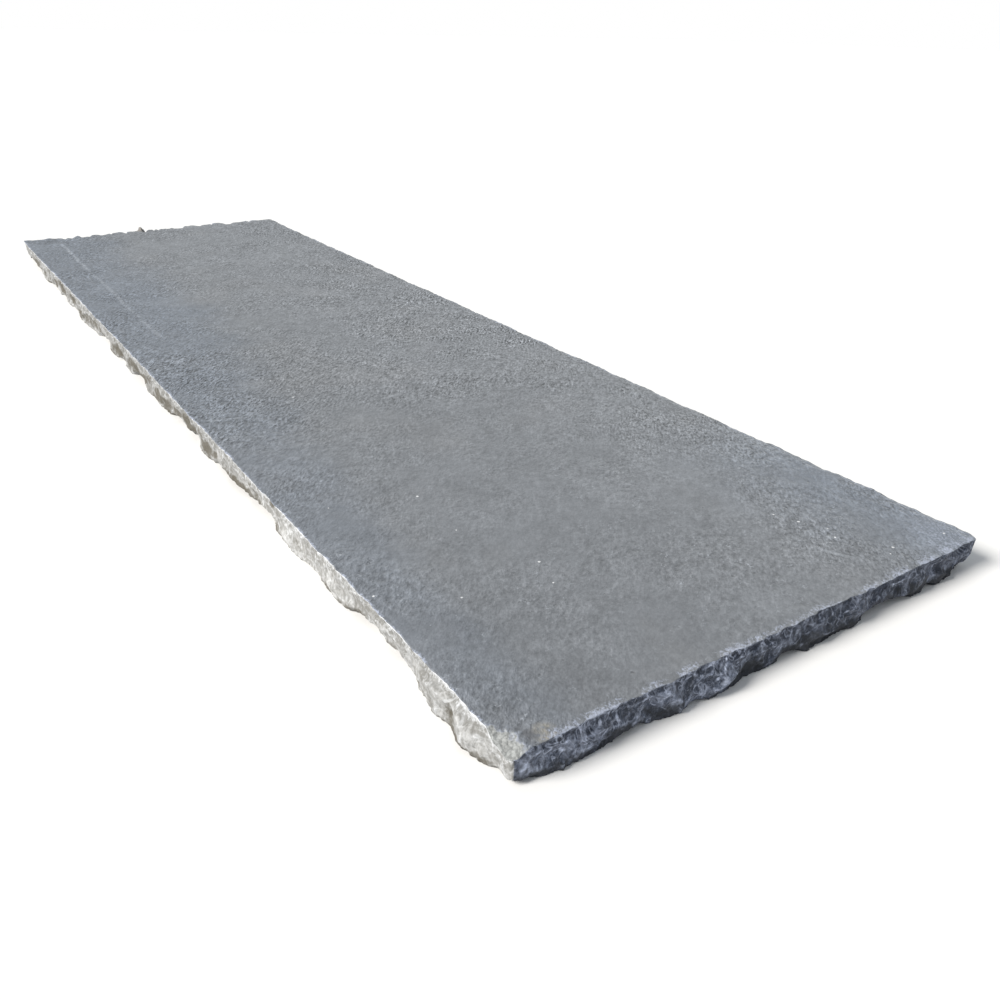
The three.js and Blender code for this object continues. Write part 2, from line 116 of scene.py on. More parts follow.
# Flake scars of the near end face: distance from the near front corner, height above the bed, half the
# width, half the height, depth, and how much they lean.
NEAR_END_SCARS = (
    (9, 16, 7, 11, 1.6, 0), (20, 23, 19, 7, 2.2, -0.1), (41, 23, 9, 6, 2.4, -0.3), (54, 24, 9, 7, 2.8, -0.2),
    (30, 12, 27, 9, 2.6, -0.1), (62, 7, 20, 8, 2.2, 0.1), (70, 20, 10, 10, 1.6, -0.4),
    (86, 20, 13, 12, 3.2, -0.3), (108, 12, 19, 9, 2.4, -0.2), (108, 26, 11, 6, 2.2, 0),
    (130, 20, 12, 12, 2.4, -0.4), (148, 26, 9, 7, 2.4, 0), (160, 25, 7, 8, 2, 0.1),
    (150, 13, 13, 6, 2.8, 0), (174, 25, 9, 6, 2.6, 0), (180, 15, 12, 6, 1.8, -0.2),
    (168, 4, 20, 6, 2.2, 0.1), (192, 25, 10, 6, 2.6, 0.2), (200, 9, 22, 8, 2.6, 0.1),
    (207, 26, 7, 7, 2, 0), (226, 24, 11, 8, 3.2, -0.2), (240, 17, 15, 11, 2.6, -0.5),
    (262, 25, 12, 8, 2.6, 0.1), (268, 13, 16, 7, 2.2, -0.2), (262, 4, 24, 5, 2, -0.1),
    (286, 22, 14, 8, 3, 0.3), (298, 9, 15, 7, 2, -0.4), (312, 25, 8, 7, 2.4, 0),
    (326, 21, 12, 9, 3, 0.4), (346, 24, 11, 8, 2.6, 0), (358, 13, 20, 8, 2.6, -0.2),
    (372, 4, 12, 7, 1.8, 0), (381, 23, 14, 7, 2.4, -0.3), (402, 16, 30, 6, 4, -0.2),
    (424, 24, 15, 6, 2.6, 0), (434, 8, 14, 7, 2, 0.1),
)
# Soil on the front face: distance from the near front corner, height above the bed, half the length, half
# the height, strength.
FRONT_SOIL = (
    (50, 2, 16, 7, 0.9), (106, 5, 4, 5, 0.8), (66, 12, 7, 14, 0.3), (300, 8, 20, 9, 0.45),
    (355, 23, 6, 5, 0.55), (392, 10, 16, 9, 0.6), (432, 5, 54, 7, 0.85), (403, 18, 9, 7, 0.4),
    (520, 9, 27, 9, 0.8), (540, 19, 10, 7, 0.5), (580, 12, 30, 10, 1.0), (622, 12, 16, 7, 0.75),
    (656, 11, 22, 9, 0.7), (684, 10, 22, 10, 0.95), (722, 17, 16, 9, 0.7), (748, 10, 22, 7, 0.85),
    (790, 12, 36, 10, 0.75), (812, 5, 12, 7, 0.9), (866, 11, 36, 10, 0.65), (1000, 11, 60, 10, 0.62),
    (1060, 8, 24, 8, 0.8), (1126, 12, 32, 9, 0.75), (1200, 15, 36, 10, 0.95), (1242, 12, 24, 9, 0.85),
    (1320, 9, 44, 9, 0.5), (1420, 9, 50, 10, 0.5),
)
# Single bright crystals on the top: place along the slab and across it.
CRYSTALS = (
    (46, -106), (130, -119), (188, -117), (436, -190), (571, -218), (455, -118), (522, -121),
    (606, -168), (595, -94), (623, -102), (637, 113), (656, 121), (676, 132), (688, 126), (722, 152),
    (727, 142), (731, 205),
)


class Side(Enum):
    """A dressed side: where it starts on the perimeter and how long it is."""

    NEAR_END = (0.0, WIDTH)
    BACK = (WIDTH, LENGTH)
    FAR_END = (WIDTH + LENGTH, WIDTH)
    FRONT = (2 * WIDTH + LENGTH, LENGTH)

    @property
    def start(self) -> float:
        """Perimeter measure of the side's first corner."""
        return self.value[0]

    @property
    def length(self) -> float:
        """Length of the side."""
        return self.value[1]


class Dice:
    """Park and Miller's random number generator, so that the stone is the same every time."""

    FACTOR = 48271
    MODULUS = 2147483647

    def __init__(self, seed: int) -> None:
        """Starts the row of numbers."""
        self.state = seed

    def roll(self, low: float, high: float) -> float:
        """The next number of the row."""
        self.state = self.state * self.FACTOR % self.MODULUS
        return low + (high - low) * self.state / self.MODULUS


def ease(value: float, low: float, high: float) -> float:
    """A smooth step."""
    t = min(1.0, max(0.0, (value - low) / (high - low)))
    return t * t * (3 - 2 * t)


def fractal(place: Vector, size: float, octaves: int = 3) -> float:
    """Fractal noise."""
    return noise.fractal(place / size, 1.0, 2.0, octaves)


def new_object(name: str, bm: bmesh.types.BMesh) -> bpy.types.Object:
    """Makes an object of a finished mesh, and frees the mesh in hand.

    Args:
        name: name of the object and of its mesh.
        bm: the mesh in hand.

    Returns:
        The object, linked to the scene.
    """
    mesh = bpy.data.meshes.new(name)
    bm.to_mesh(mesh)
    bm.free()
    made = bpy.data.objects.new(name, mesh)
    bpy.context.scene.collection.objects.link(made)
    return made


def signed_along(s: float, start: float) -> float:
    """Signed way along the perimeter."""
    return (s - start + 1.5 * PERIMETER) % PERIMETER - PERIMETER / 2


@dataclass(frozen=True)
class Scar:
    """The hollow that one struck flake left."""

    s: float
    z: float
    half: float
    tall: float
    depth: float
    lean: float

    def share(self, s: float, z: float) -> float:
        """How far out in the hollow a place lies.

        Args:
            s: perimeter measure of the place.
            z: height of the place.

        Returns:
            0 in the middle, 1 on the rim and more outside.
        """
        along = signed_along(s, self.s)
        level = (z - self.z - self.lean * along) / self.tall
        return (along / self.half) ** 2 + level * level


@dataclass
class Cuts:
    """The deepest cut at a place, with what lies under it."""

    deepest: float = 0.0
    second: float = 0.0
    share: float = 1.0
    half: float = 1.0
    height: float = 0.0

    def take(self, depth: float, share: float, mark: Any, height: float) -> None:
        """Takes in one more cut.

        Args:
            depth: how deep it is here.
            share: how far out in it the place lies.
            mark: the scar or flake itself.
            height: height of its middle.
        """
        if depth > self.deepest:
            self.second = self.deepest
            self.deepest, self.share, self.half, self.height = depth, share, mark.half, height
        elif depth > self.second:
            self.second = depth


@dataclass(frozen=True)
class Bulge:
    """A swelling of a dressed face."""

    s: float
    half: float
    out: float


@dataclass(frozen=True)
class FootFlake:
    """A flake lost from the foot of a dressed face."""

    s: float
    half: float
    up: float
    cut: float


class PerimeterRack:
    """Marks racked by where they lie along the perimeter, so that those near a place are found fast."""

    STEP = 10.0
    COUNT = round(PERIMETER / STEP)

    def __init__(self, marks: Iterable[Any]) -> None:
        """Racks the marks.

        Args:
            marks: things with a place s and a half width.
        """
        self.slots: list[list[Any]] = [[] for _ in range(self.COUNT)]
        for mark in marks:
            first = math.floor((mark.s - mark.half) / self.STEP)
            last = math.floor((mark.s + mark.half) / self.STEP)
            for index in range(first, last + 1):
                self.slots[index % self.COUNT].append(mark)

    def near(self, s: float) -> list[Any]:
        """Marks that may reach a place."""
        return self.slots[int(s / self.STEP) % self.COUNT]


@dataclass(frozen=True)
class ScarRow:
    """A row of overlapping flake scars along a side."""

    z: Range
    half: Range
    tall: Range
    depth: Range
    step: float
    lean: float

    def strike(self, side: Side, dice: Dice, depth_factor: float = 1.0) -> list[Scar]:
        """Strikes the row along a side.

        Args:
            side: the side that is dressed.
            dice: where the sizes come from.
            depth_factor: how much deeper than usual the scars are.

        Returns:
            The scars in order.
        """
        scars = []
        s = side.start
        while s < side.start + side.length:
            half = dice.roll(*self.half)
            z = dice.roll(*self.z)
            tall = dice.roll(*self.tall)
            depth = dice.roll(*self.depth) * depth_factor
            lean = dice.roll(-self.lean, self.lean)
            scars.append(Scar(s + half / 2, z, half, tall, depth, lean))
            s += half * self.step
        return scars


@dataclass(frozen=True)
class FaceReading:
    """What the mason's strokes left at one place of a dressed face."""

    offset: float
    ridge: float
    hollow: float
    ripple: float


@dataclass(frozen=True)
class DressingPlan:
    """Sizes of the hand dressing of the four sides."""

    scar_rows: tuple[ScarRow, ...] = (
        ScarRow((23, 27), (9, 17), (6, 10), (1.4, 3), 1.25, 0.35),
        ScarRow((7, 15), (14, 27), (7, 11), (1.4, 3.4), 1.3, 0.3),
    )
    chip_rows: tuple[ScarRow, ...] = (
        ScarRow((26, 30), (2.5, 7), (2.5, 5), (0.4, 1.1), 2.0, 0.4),
        ScarRow((17, 25), (3.5, 8), (2.5, 6), (0.3, 0.9), 2.8, 0.8),
        ScarRow((9, 18), (3.5, 9), (2.5, 6), (0.3, 1.0), 2.5, 0.8),
        ScarRow((1, 9), (3.5, 9), (2.5, 5), (0.4, 1.1), 2.0, 0.6),
    )
    soil_row: ScarRow = ScarRow((3, 12), (14, 40), (5, 9), (0.3, 0.9), 2.2, 0.1)
    soil_seed: int = 5113
    front_seed: int = 1207
    back_seed: int = 3301
    far_end_seed: int = 4409
    chip_seed: int = 7919
    far_end_depth: float = 2.0
    bulge_gap: Range = (50, 120)
    bulge_half: Range = (24, 46)
    bulge_out: Range = (1, 5)
    flake_gap: Range = (45, 120)
    flake_half: Range = (16, 44)
    flake_up: Range = (5, 12)
    flake_cut: Range = (5, 11)
    batter: float = 1.5
    bulge_growth: float = 20.0
    bulge_foot_height: float = 6.0
    bulge_foot_loss: float = 0.3
    ridge_width: float = 1.3
    ridge_unstruck: float = 0.35
    struck_depth: float = 0.5
    hollow_edge: Range = (0.05, 0.5)
    hold_from: float = 25.0
    hold_loss: float = 0.55
    near_hold_loss: float = 0.1
    high_scars: Range = (15.0, 22.0)
    low_gloom: float = 0.45
    crumb_height: Range = (3.0, 9.0)
    crumble_up: float = 7.0
    crumble_depth: float = 1.5
    crumble_size: float = 4.0
    ripple_spacing: float = 3.4
    ripple_height: float = 0.13
    warp_seed: int = 1
    warp_size: float = 13.0
    warp_reach: float = 1.7
    rough_size: float = 7.0
    rough_height: float = 0.55
    ragged_foot: float = 0.16


class DressedFaces:
    """The dressed faces as one strip round the slab."""

    def __init__(self, plan: DressingPlan) -> None:
        """Strikes every scar, chip, bulge and foot flake.

        Args:
            plan: sizes of the dressing.
        """
        self.plan = plan
        noise.seed_set(plan.warp_seed)
        self.scars = PerimeterRack(self._all_scars())
        self.chips = PerimeterRack(self._all_chips())
        self.bulges = PerimeterRack(self._all_bulges())
        self.foot_flakes = PerimeterRack(self._all_foot_flakes())
        self.crumbs = PerimeterRack(Bulge(*numbers) for numbers in NEAR_END_CRUMBS)
        self.soil = PerimeterRack(self._all_soil())

    def _all_scars(self) -> list[Scar]:
        """Scars of the four sides, the near end's as the mason left them and the others in rows."""
        plan = self.plan
        scars = [Scar(*numbers) for numbers in NEAR_END_SCARS]
        sides = (
            (Side.FRONT, plan.front_seed, 1.0),
            (Side.BACK, plan.back_seed, 1.0),
            (Side.FAR_END, plan.far_end_seed, plan.far_end_depth),
        )
        for side, seed, depth_factor in sides:
            dice = Dice(seed)
            for row in plan.scar_rows:
                scars += row.strike(side, dice, depth_factor)
        return scars

    def _all_chips(self) -> list[Scar]:
        """The small chips over the scars of all sides."""
        dice = Dice(self.plan.chip_seed)
        return [chip for side in Side for row in self.plan.chip_rows for chip in row.strike(side, dice)]

    def _hidden_places(self, gap: Range) -> Iterator[tuple[float, Dice]]:
        """Walks along the two sides that are seen least.

        Args:
            gap: least and greatest gap between two places.

        Yields:
            The perimeter measure of each place, and the dice that its sizes are rolled with.
        """
        for side, seed in ((Side.BACK, self.plan.back_seed), (Side.FAR_END, self.plan.far_end_seed)):
            dice = Dice(seed)
            s = side.start + dice.roll(*gap) / 2
            while s < side.start + side.length:
                yield s, dice
                s += dice.roll(*gap)

    def _all_bulges(self) -> list[Bulge]:
        """Bulges of the four sides."""
        plan = self.plan
        bulges = [Bulge(*numbers) for numbers in NEAR_END_BULGES]
        bulges += [Bulge(PERIMETER - at, *numbers) for at, *numbers in FRONT_BULGES]
        bulges += (
            Bulge(s, dice.roll(*plan.bulge_half), dice.roll(*plan.bulge_out))
            for s, dice in self._hidden_places(plan.bulge_gap)
        )
        return bulges

    def _all_foot_flakes(self) -> list[FootFlake]:
        """Foot flakes of the four sides."""
        plan = self.plan
        flakes = [FootFlake(*numbers) for numbers in NEAR_END_FOOT_FLAKES]
        flakes += [FootFlake(PERIMETER - at, *numbers) for at, *numbers in FRONT_FOOT_FLAKES]
        flakes += (
            FootFlake(s, dice.roll(*plan.flake_half), dice.roll(*plan.flake_up), dice.roll(*plan.flake_cut))
            for s, dice in self._hidden_places(plan.flake_gap)
        )
        return flakes

    def _all_soil(self) -> list[Scar]:
        """Soil of the front as it lies, and of the back and far end in rows; its depth is its strength."""
        soil = [Scar(PERIMETER - at, *numbers, 0) for at, *numbers in FRONT_SOIL]
        dice = Dice(self.plan.soil_seed)
        return soil + [
            patch for side in (Side.BACK, Side.FAR_END) for patch in self.plan.soil_row.strike(side, dice)
        ]

    def soiled(self, s: float, z: float) -> float:
        """How soiled a place of the dressed faces is."""
        return max((patch.depth * (1 - patch.share(s, z)) for patch in self.soil.near(s)), default=0.0)

    @staticmethod
    def _swelling(rack: PerimeterRack, s: float) -> float:
        """How far the largest of the racked swellings stands out."""
        shares = ((mark, abs(signed_along(s, mark.s)) / mark.half) for mark in rack.near(s))
        return max((mark.out * (1 - share * share) ** 2 for mark, share in shares if share < 1), default=0.0)

    def _bulge(self, s: float, z: float) -> float:
        """How far the bulges and the crumbs push the face out.

        Args:
            s: perimeter measure.
            z: height.

        Returns:
            The distance outwards.
        """
        plan = self.plan
        growth = ease(THICKNESS - z, 0, plan.bulge_growth)
        foot = 1 - plan.bulge_foot_loss * (1 - ease(z, 0, plan.bulge_foot_height))
        crumb = self._swelling(self.crumbs, s) * (1 - ease(z, *plan.crumb_height))
        return self._swelling(self.bulges, s) * growth * foot + crumb

    def _cuts(self, s: float, z: float, raggedness: float, hold: float) -> Cuts:
        """The cuts at a place.

        Args:
            s: perimeter measure.
            z: height.
            raggedness: how much the rims of the foot flakes stray.
            hold: share of the scars' depth that is left near the arris.

        Returns:
            The deepest cut, with what lies under it.
        """
        cuts = Cuts()
        for scar in self.scars.near(s):
            outness = scar.share(s, z)
            cuts.take(scar.depth * hold * (1 - outness), outness, scar, scar.z)
        for flake in self.foot_flakes.near(s):
            along = abs(signed_along(s, flake.s)) / flake.half
            outness = along**3 + (z / flake.up) ** 2 + raggedness
            cuts.take(flake.cut * (1 - outness), outness, flake, 0.0)
        return cuts

    def _chip(self, s: float, z: float) -> float:
        """Depth of the small chips at a place."""
        return max((chip.depth * (1 - chip.share(s, z)) for chip in self.chips.near(s)), default=0.0)

    def _hold(self, s: float, z: float) -> float:
        """Share of a cut's depth that is left at a place: the arris is straighter than the face below it.

        Args:
            s: perimeter measure.
            z: height.

        Returns:
            The share, which is whole on the ragged far end.
        """
        if Side.FAR_END.start < s < Side.FRONT.start:
            return 1.0
        loss = self.plan.near_hold_loss if s < WIDTH else self.plan.hold_loss
        return 1 - loss * ease(z, self.plan.hold_from, THICKNESS)

    def read(self, s: float, z: float, place: Vector) -> FaceReading:
        """Reads the dressed face at a place.

        Args:
            s: perimeter measure.
            z: height.
            place: the same place on the sharp block, for noise that runs on round the corners.

        Returns:
            How far the face stands out there and what the strokes look like.
        """
        plan = self.plan
        hold = self._hold(s, z)
        stray = noise.noise_vector(place / plan.warp_size) * plan.warp_reach
        s_struck = (s + stray.x) % PERIMETER
        z_struck = z + stray.y
        rough = fractal(place, plan.rough_size)
        cuts = self._cuts(s_struck, z_struck, plan.ragged_foot * rough, hold)
        chip = max(0.0, self._chip(s_struck, z_struck)) * hold
        inner = 1 - min(1.0, max(0.0, cuts.share))
        rings = math.sin(math.sqrt(1 - inner) * cuts.half / plan.ripple_spacing * 2 * math.pi)
        struck = ease(cuts.deepest, 0, plan.struck_depth)
        offset = self._bulge(s, z) - plan.batter * (1 - z / THICKNESS) - cuts.deepest - chip
        offset -= plan.ripple_height * rings * struck * (1 - inner)
        offset -= plan.rough_height * abs(rough) * hold
        offset -= self._crumbled(z, place)
        ridge = 1 - ease(cuts.deepest - cuts.second, 0, plan.ridge_width)
        ridge *= plan.ridge_unstruck + (1 - plan.ridge_unstruck) * struck
        # The darkness of the hollows, partly painted shade, is full in the high scars under the arris and
        # weaker low down.
        gloom = plan.low_gloom + (1 - plan.low_gloom) * ease(cuts.height, *plan.high_scars)
        return FaceReading(offset, ridge, ease(inner, *plan.hollow_edge) * gloom, rings * struck)

    def _crumbled(self, z: float, place: Vector) -> float:
        """How far the crumbly foot is eaten back.

        Args:
            z: height.
            place: where the noise is read.

        Returns:
            The depth.
        """
        plan = self.plan
        low = 1 - ease(z, 0, plan.crumble_up)
        return plan.crumble_depth * low * abs(fractal(place, plan.crumble_size, 2)) if low > 0 else 0.0


@dataclass(frozen=True)
class Bruise:
    """A bruised arris: how far it has sunk, and the waves of that along the edge (sway and length)."""

    drop: float
    waves: tuple[tuple[float, float], ...]

    def depth(self, s: float) -> float:
        """How far the arris has sunk."""
        return self.drop + sum(sway * math.sin(s * 2 * math.pi / length) for sway, length in self.waves)


@dataclass(frozen=True)
class RivenTop:
    """The riven top: a few long low waves, a lost corner flake, a crumb and fine undulations."""

    waves: int = 7
    longest: float = 340.0
    shrink: float = 0.72
    height: float = 0.34
    fade: float = 0.8
    turn: float = 2.4
    shift: float = 1.7
    flake_along_front: float = 28.0
    flake_along_end: float = 11.0
    flake_drop: float = 7.5
    crumb_from_middle: float = -25.0
    crumb_inset: float = 4.0
    crumb_radius: float = 6.0
    crumb_height: float = 8.4
    crumb_fullness: float = 0.6
    bruise_width: float = 10.0
    plain_bruise: Bruise = Bruise(0.9, ((0.4, 97.0), (0.35, 37.0), (0.2, 11.3)))
    far_bruise_width: float = 26.0
    far_bruise: Bruise = Bruise(0.7, ((0.6, 61.0), (0.4, 37.0), (0.3, 17.0)))
    far_lift: float = 1.1
    far_lift_width: float = 110.0
    far_notch_spacing: float = 30.0
    far_notch_row: float = 7.3
    far_notch_depth: float = 4.6
    far_notch_sharpness: float = 5.5
    far_bruise_from_corner: float = 15.0
    bruise_roundness: float = 1.4
    lump_size: float = 24.0
    lump_height: float = 0.9
    pimple_size: float = 9.0
    pimple_height: float = 0.34

    def _sink(self, x: float, y: float) -> float:
        """How far the long waves sink the top below its highest plane.

        Args:
            x: place along the slab.
            y: place across it.

        Returns:
            The depth.
        """
        sink, height, length = 0.0, self.height, self.longest
        for wave in range(self.waves):
            angle = wave * self.turn
            way = x * math.cos(angle) + y * math.sin(angle)
            sink += height * (1 + math.sin(way * 2 * math.pi / length + wave * self.shift))
            height *= self.fade
            length *= self.shrink
        return sink

    def level(self, x: float, y: float) -> float:
        """Height of the top without its finest detail.

        Args:
            x: place along the slab.
            y: place across it.

        Returns:
            The height above the bed.
        """
        drop = self.flake_drop * max(0.0, self.corner_flake(x, y))
        away = self.from_crumb(x, y) / self.crumb_radius
        rise = self.crumb_height * max(0.0, 1 - away * away) ** self.crumb_fullness
        lift = self.far_lift * (1 - ease(HALF_LENGTH + x, 0.0, self.far_lift_width))
        return THICKNESS - self._sink(x, y) - drop + rise + lift

    def from_crumb(self, x: float, y: float) -> float:
        """Distance of a place from the middle of the crumb."""
        return math.hypot(x + HALF_LENGTH - self.crumb_inset, y - self.crumb_from_middle)

    def corner_flake(self, x: float, y: float) -> float:
        """How deep in the lost corner flake a place lies.

        Args:
            x: place along the slab.
            y: place across it.

        Returns:
            1 at the corner, 0 on the rim and less outside.
        """
        along_front = max(0.0, HALF_LENGTH - x) / self.flake_along_front
        along_end = max(0.0, HALF_WIDTH + y) / self.flake_along_end
        return max(-1.0, 1 - along_front**3 - along_end)

    def undulation(self, place: Vector) -> float:
        """How far the fine lumps and hollows lie below the level.

        Args:
            place: where they are read.

        Returns:
            The depth, never below zero.
        """
        lumps = self.lump_height * (0.5 + 0.5 * fractal(place, self.lump_size, 3))
        pimples = self.pimple_height * (0.5 + 0.5 * fractal(place, self.pimple_size, 2))
        return max(0.0, lumps + pimples)

    def bruise(self, s: float, inset: float) -> float:
        """How far the bruised arris has dropped.

        Args:
            s: perimeter measure of the nearest place on the arris.
            inset: distance from it.

        Returns:
            The drop.
        """
        reach = self.far_bruise_from_corner
        far = ease(s, Side.FAR_END.start, Side.FAR_END.start + reach)
        far *= ease(s, Side.FRONT.start, Side.FRONT.start - reach)
        drop = self.plain_bruise.depth(s) * (1 - far) + self.far_bruise.depth(s) * far
        crossing = abs(fractal(Vector((s, self.far_notch_row, 0)), self.far_notch_spacing, 2))
        drop += self.far_notch_depth * far * max(0.0, 1 - self.far_notch_sharpness * crossing) ** 2
        width = self.bruise_width + (self.far_bruise_width - self.bruise_width) * far
        return drop * max(0.0, 1 - inset / width) ** self.bruise_roundness


@dataclass(frozen=True)
class SharpBlock:
    """The block before it was worn: a sharp-edged plan with the worn radius of each corner."""

    near_front: float = 6.0
    near_back: float = 8.0
    far_back: float = 8.0
    far_front: float = 6.0

    @staticmethod
    def measure(x: float, y: float) -> float:
        """Perimeter measure of a place on the outline.

        Args:
            x: place along the slab.
            y: place across it.

        Returns:
            The measure.
        """
        tiny = 1e-3
        if x > HALF_LENGTH - tiny:
            return y + HALF_WIDTH
        if y > HALF_WIDTH - tiny:
            return Side.BACK.start + HALF_LENGTH - x
        if x < tiny - HALF_LENGTH:
            return Side.FAR_END.start + HALF_WIDTH - y
        return Side.FRONT.start + HALF_LENGTH + x

    def _radius(self, x: float, y: float) -> float:
        """Worn radius of the corner nearest to a place."""
        if x > 0:
            return self.near_back if y > 0 else self.near_front
        return self.far_back if y > 0 else self.far_front

    def worn(self, x: float, y: float) -> tuple[Vector, Vector]:
        """The worn outline beside a place on the sharp one.

        Args:
            x: place along the slab.
            y: place across it.

        Returns:
            The point on the worn outline and the direction outwards there.
        """
        radius = self._radius(x, y)
        over = Vector((
            math.copysign(max(0.0, abs(x) - (HALF_LENGTH - radius)), x),
            math.copysign(max(0.0, abs(y) - (HALF_WIDTH - radius)), y),
        ))
        outward = over.normalized()
        return Vector((x, y)) - over + outward * radius, outward


class Wear(Enum):
    """Attributes of the mesh that tell the finishes where the stone is struck, bruised, broken or dirty, and
    how far its sides are painted as sunlit.
    """

    RIDGE = "ridge"
    HOLLOW = "hollow"
    RIPPLE = "ripple"
    ARRIS = "arris"
    FOOT = "foot"
    # How far a place on the sides is painted as sunlit: its colour mixes from the painted shade tones to the
    # painted sunlight tones.
    SUNNED = "sunned"
    FRESH = "fresh"
    SOIL = "soil"


class Skin(Enum):
    """Which material a face of the slab has."""

    TOP = 0
    DRESSED = 1
    BED = 2


@dataclass
class HearthSlab:
    """The stone itself: one closed mesh, laid out as a block and then worked to its shape."""

    name: str = "limestone_slab"
    cells_x: int = 320
    cells_y: int = 104
    near_cell: float = 2.4
    far_cell: float = 6.97
    edge_crowding: float = 0.4
    levels: int = 10
    fine_rim: float = 6.0
    near_rows: float = 2.6
    bed_insets: tuple[float, ...] = (20.0, 55.0)
    drag_reach: float = 17.0
    bruised_near: Range = (7.0, 13.0)
    bruised_front: float = 2.6
    bruised_back: float = 5.0
    bruised_far: float = 7.0
    foot_height: float = 18.0
    arris_share: float = 0.12
    arris_fade: float = 3.6
    block: SharpBlock = SharpBlock()
    top: RivenTop = RivenTop()
    dressing: DressingPlan = DressingPlan()

    def __post_init__(self) -> None:
        """Strikes the dressed faces."""
        self.faces = DressedFaces(self.dressing)

    def build(self) -> bpy.types.Object:
        """Makes the stone.

        Returns:
            The finished object, in metres, without its materials.
        """
        bm = bmesh.new()
        self._lay_block(bm)
        self._refine(bm)
        self._close_bed(bm)
        bmesh.ops.recalc_face_normals(bm, faces=bm.faces)
        self._sort_skins(bm)
        self._work(bm)
        bmesh.ops.scale(bm, vec=(MM, MM, MM), verts=bm.verts)
        return new_object(self.name, bm)

    def _spread_x(self, share: float) -> float:
        """Place along the slab of a share of the cells, counted from the near end."""
        grown = self.near_cell * share + (self.far_cell - self.near_cell) * share * share / 2
        return HALF_LENGTH - LENGTH * grown / ((self.near_cell + self.far_cell) / 2)

    def _spread_y(self, share: float) -> float:
        """Place across the slab of a share of the half width, with the cells crowded at the edges."""
        crowded = math.sin(share * math.pi / 2)
        return HALF_WIDTH * (share + (crowded - share) * self.edge_crowding)

    def _lay_block(self, bm: bmesh.types.BMesh) -> None:
        """Lays the top as a grid and drops the sides from its rim, one unit of z for each level.

        Args:
            bm: the mesh in hand.
        """
        bmesh.ops.create_grid(bm, x_segments=self.cells_x, y_segments=self.cells_y, size=1.0)
        for vert in bm.verts:
            vert.co.x = self._spread_x((1 - vert.co.x) / 2)
            vert.co.y = self._spread_y(vert.co.y)
        rim = [edge for edge in bm.edges if edge.is_boundary]
        for _ in range(self.levels):
            made = bmesh.ops.extrude_edge_only(bm, edges=rim)["geom"]
            verts, rim = self._split_ring(made)
            bmesh.ops.translate(bm, vec=(0, 0, -1), verts=verts)

    @staticmethod
    def _split_ring(made: list[Any]) -> tuple[list[bmesh.types.BMVert], list[bmesh.types.BMEdge]]:
        """Sorts what an extrusion made."""
        rim = [part for part in made if isinstance(part, bmesh.types.BMEdge) and part.is_boundary]
        return [part for part in made if isinstance(part, bmesh.types.BMVert)], rim

    def _refine(self, bm: bmesh.types.BMesh) -> None:
        """Cuts the dressed faces and the rim of the top finer, and the near end finer again.

        Args:
            bm: the mesh in hand.
        """
        for chosen in (self._near_rim, self._at_near_end, self._on_crumb):
            faces = {face for face in bm.faces if chosen(face.calc_center_median())}
            edges = [edge for edge in bm.edges if not faces.isdisjoint(edge.link_faces)]
            bmesh.ops.subdivide_edges(bm, edges=edges, cuts=1, use_grid_fill=True, use_single_edge=True)
        bmesh.ops.triangulate(bm, faces=[face for face in bm.faces if len(face.verts) > 4])

    def _near_rim(self, middle: Vector) -> bool:
        """Whether a face with this middle is on a side, or on the top close to its rim."""
        return min(HALF_LENGTH - abs(middle.x), HALF_WIDTH - abs(middle.y)) < self.fine_rim

    def _at_near_end(self, middle: Vector) -> bool:
        """Whether a face with this middle is on the near end, or on the top right beside it."""
        return middle.x > HALF_LENGTH - self.near_rows

    def _on_crumb(self, middle: Vector) -> bool:
        """Whether a face with this middle is on the top, on the crumb or beside it."""
        reach = self.top.crumb_radius + self.fine_rim / 2
        return middle.z > -MM and self.top.from_crumb(middle.x, middle.y) < reach

    def _close_bed(self, bm: bmesh.types.BMesh) -> None:
        """Closes the bed with rings that run inwards and a flat middle.

        Args:
            bm: the mesh in hand.
        """
        rim = [edge for edge in bm.edges if edge.is_boundary]
        for inset in self.bed_insets:
            made = bmesh.ops.extrude_edge_only(bm, edges=rim)["geom"]
            verts, rim = self._split_ring(made)
            for vert in verts:
                vert.co.x, vert.co.y = self._pulled_in(vert.co, inset)
        bmesh.ops.triangle_fill(bm, edges=rim, use_beauty=True, use_dissolve=False)

    def _pulled_in(self, place: Vector, inset: float) -> tuple[float, float]:
        """Pulls a place on a level rectangle in to one that is smaller by an inset on every side.

        Args:
            place: where it is.
            inset: how far in from the outline it goes.

        Returns:
            Its new place along and across the slab.
        """
        around = max(abs(place.x) / HALF_LENGTH, abs(place.y) / HALF_WIDTH)
        x = place.x / around * (1 - inset / HALF_LENGTH)
        y = place.y / around * (1 - inset / HALF_WIDTH)
        return x, y

    def _sort_skins(self, bm: bmesh.types.BMesh) -> None:
        """Gives every face its material and its shading, from the block's shape.

        Args:
            bm: the mesh in hand.
        """
        for face in bm.faces:
            face.smooth = True
            middle = face.calc_center_median()
            if middle.z > -MM:
                face.material_index = Skin.TOP.value
            elif middle.z < MM - self.levels and abs(face.normal.z) > 0.5:
                face.material_index = Skin.BED.value
                face.smooth = False
            else:
                face.material_index = Skin.DRESSED.value

    def _work(self, bm: bmesh.types.BMesh) -> None:
        """Moves every vertex of the block to its place on the worked stone and notes its wear.

        Args:
            bm: the mesh in hand.
        """
        layers = {wear: bm.verts.layers.float.new(wear.value) for wear in Wear}
        low, high = (Vector(corner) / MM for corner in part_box(CAD_NODE))
        for vert in bm.verts:
            inset = min(HALF_LENGTH - abs(vert.co.x), HALF_WIDTH - abs(vert.co.y))
            on_side = inset < MM
            if vert.co.z < MM - self.levels and not on_side:
                place, wear = self._bed_place(vert.co)
            elif on_side:
                place, wear = self._side_place(vert.co)
            else:
                place, wear = self._top_place(vert.co)
            vert.co = [min(max(value, least), most) for value, least, most in zip(place, low, high)]
            for key, value in wear.items():
                vert[layers[key]] = value

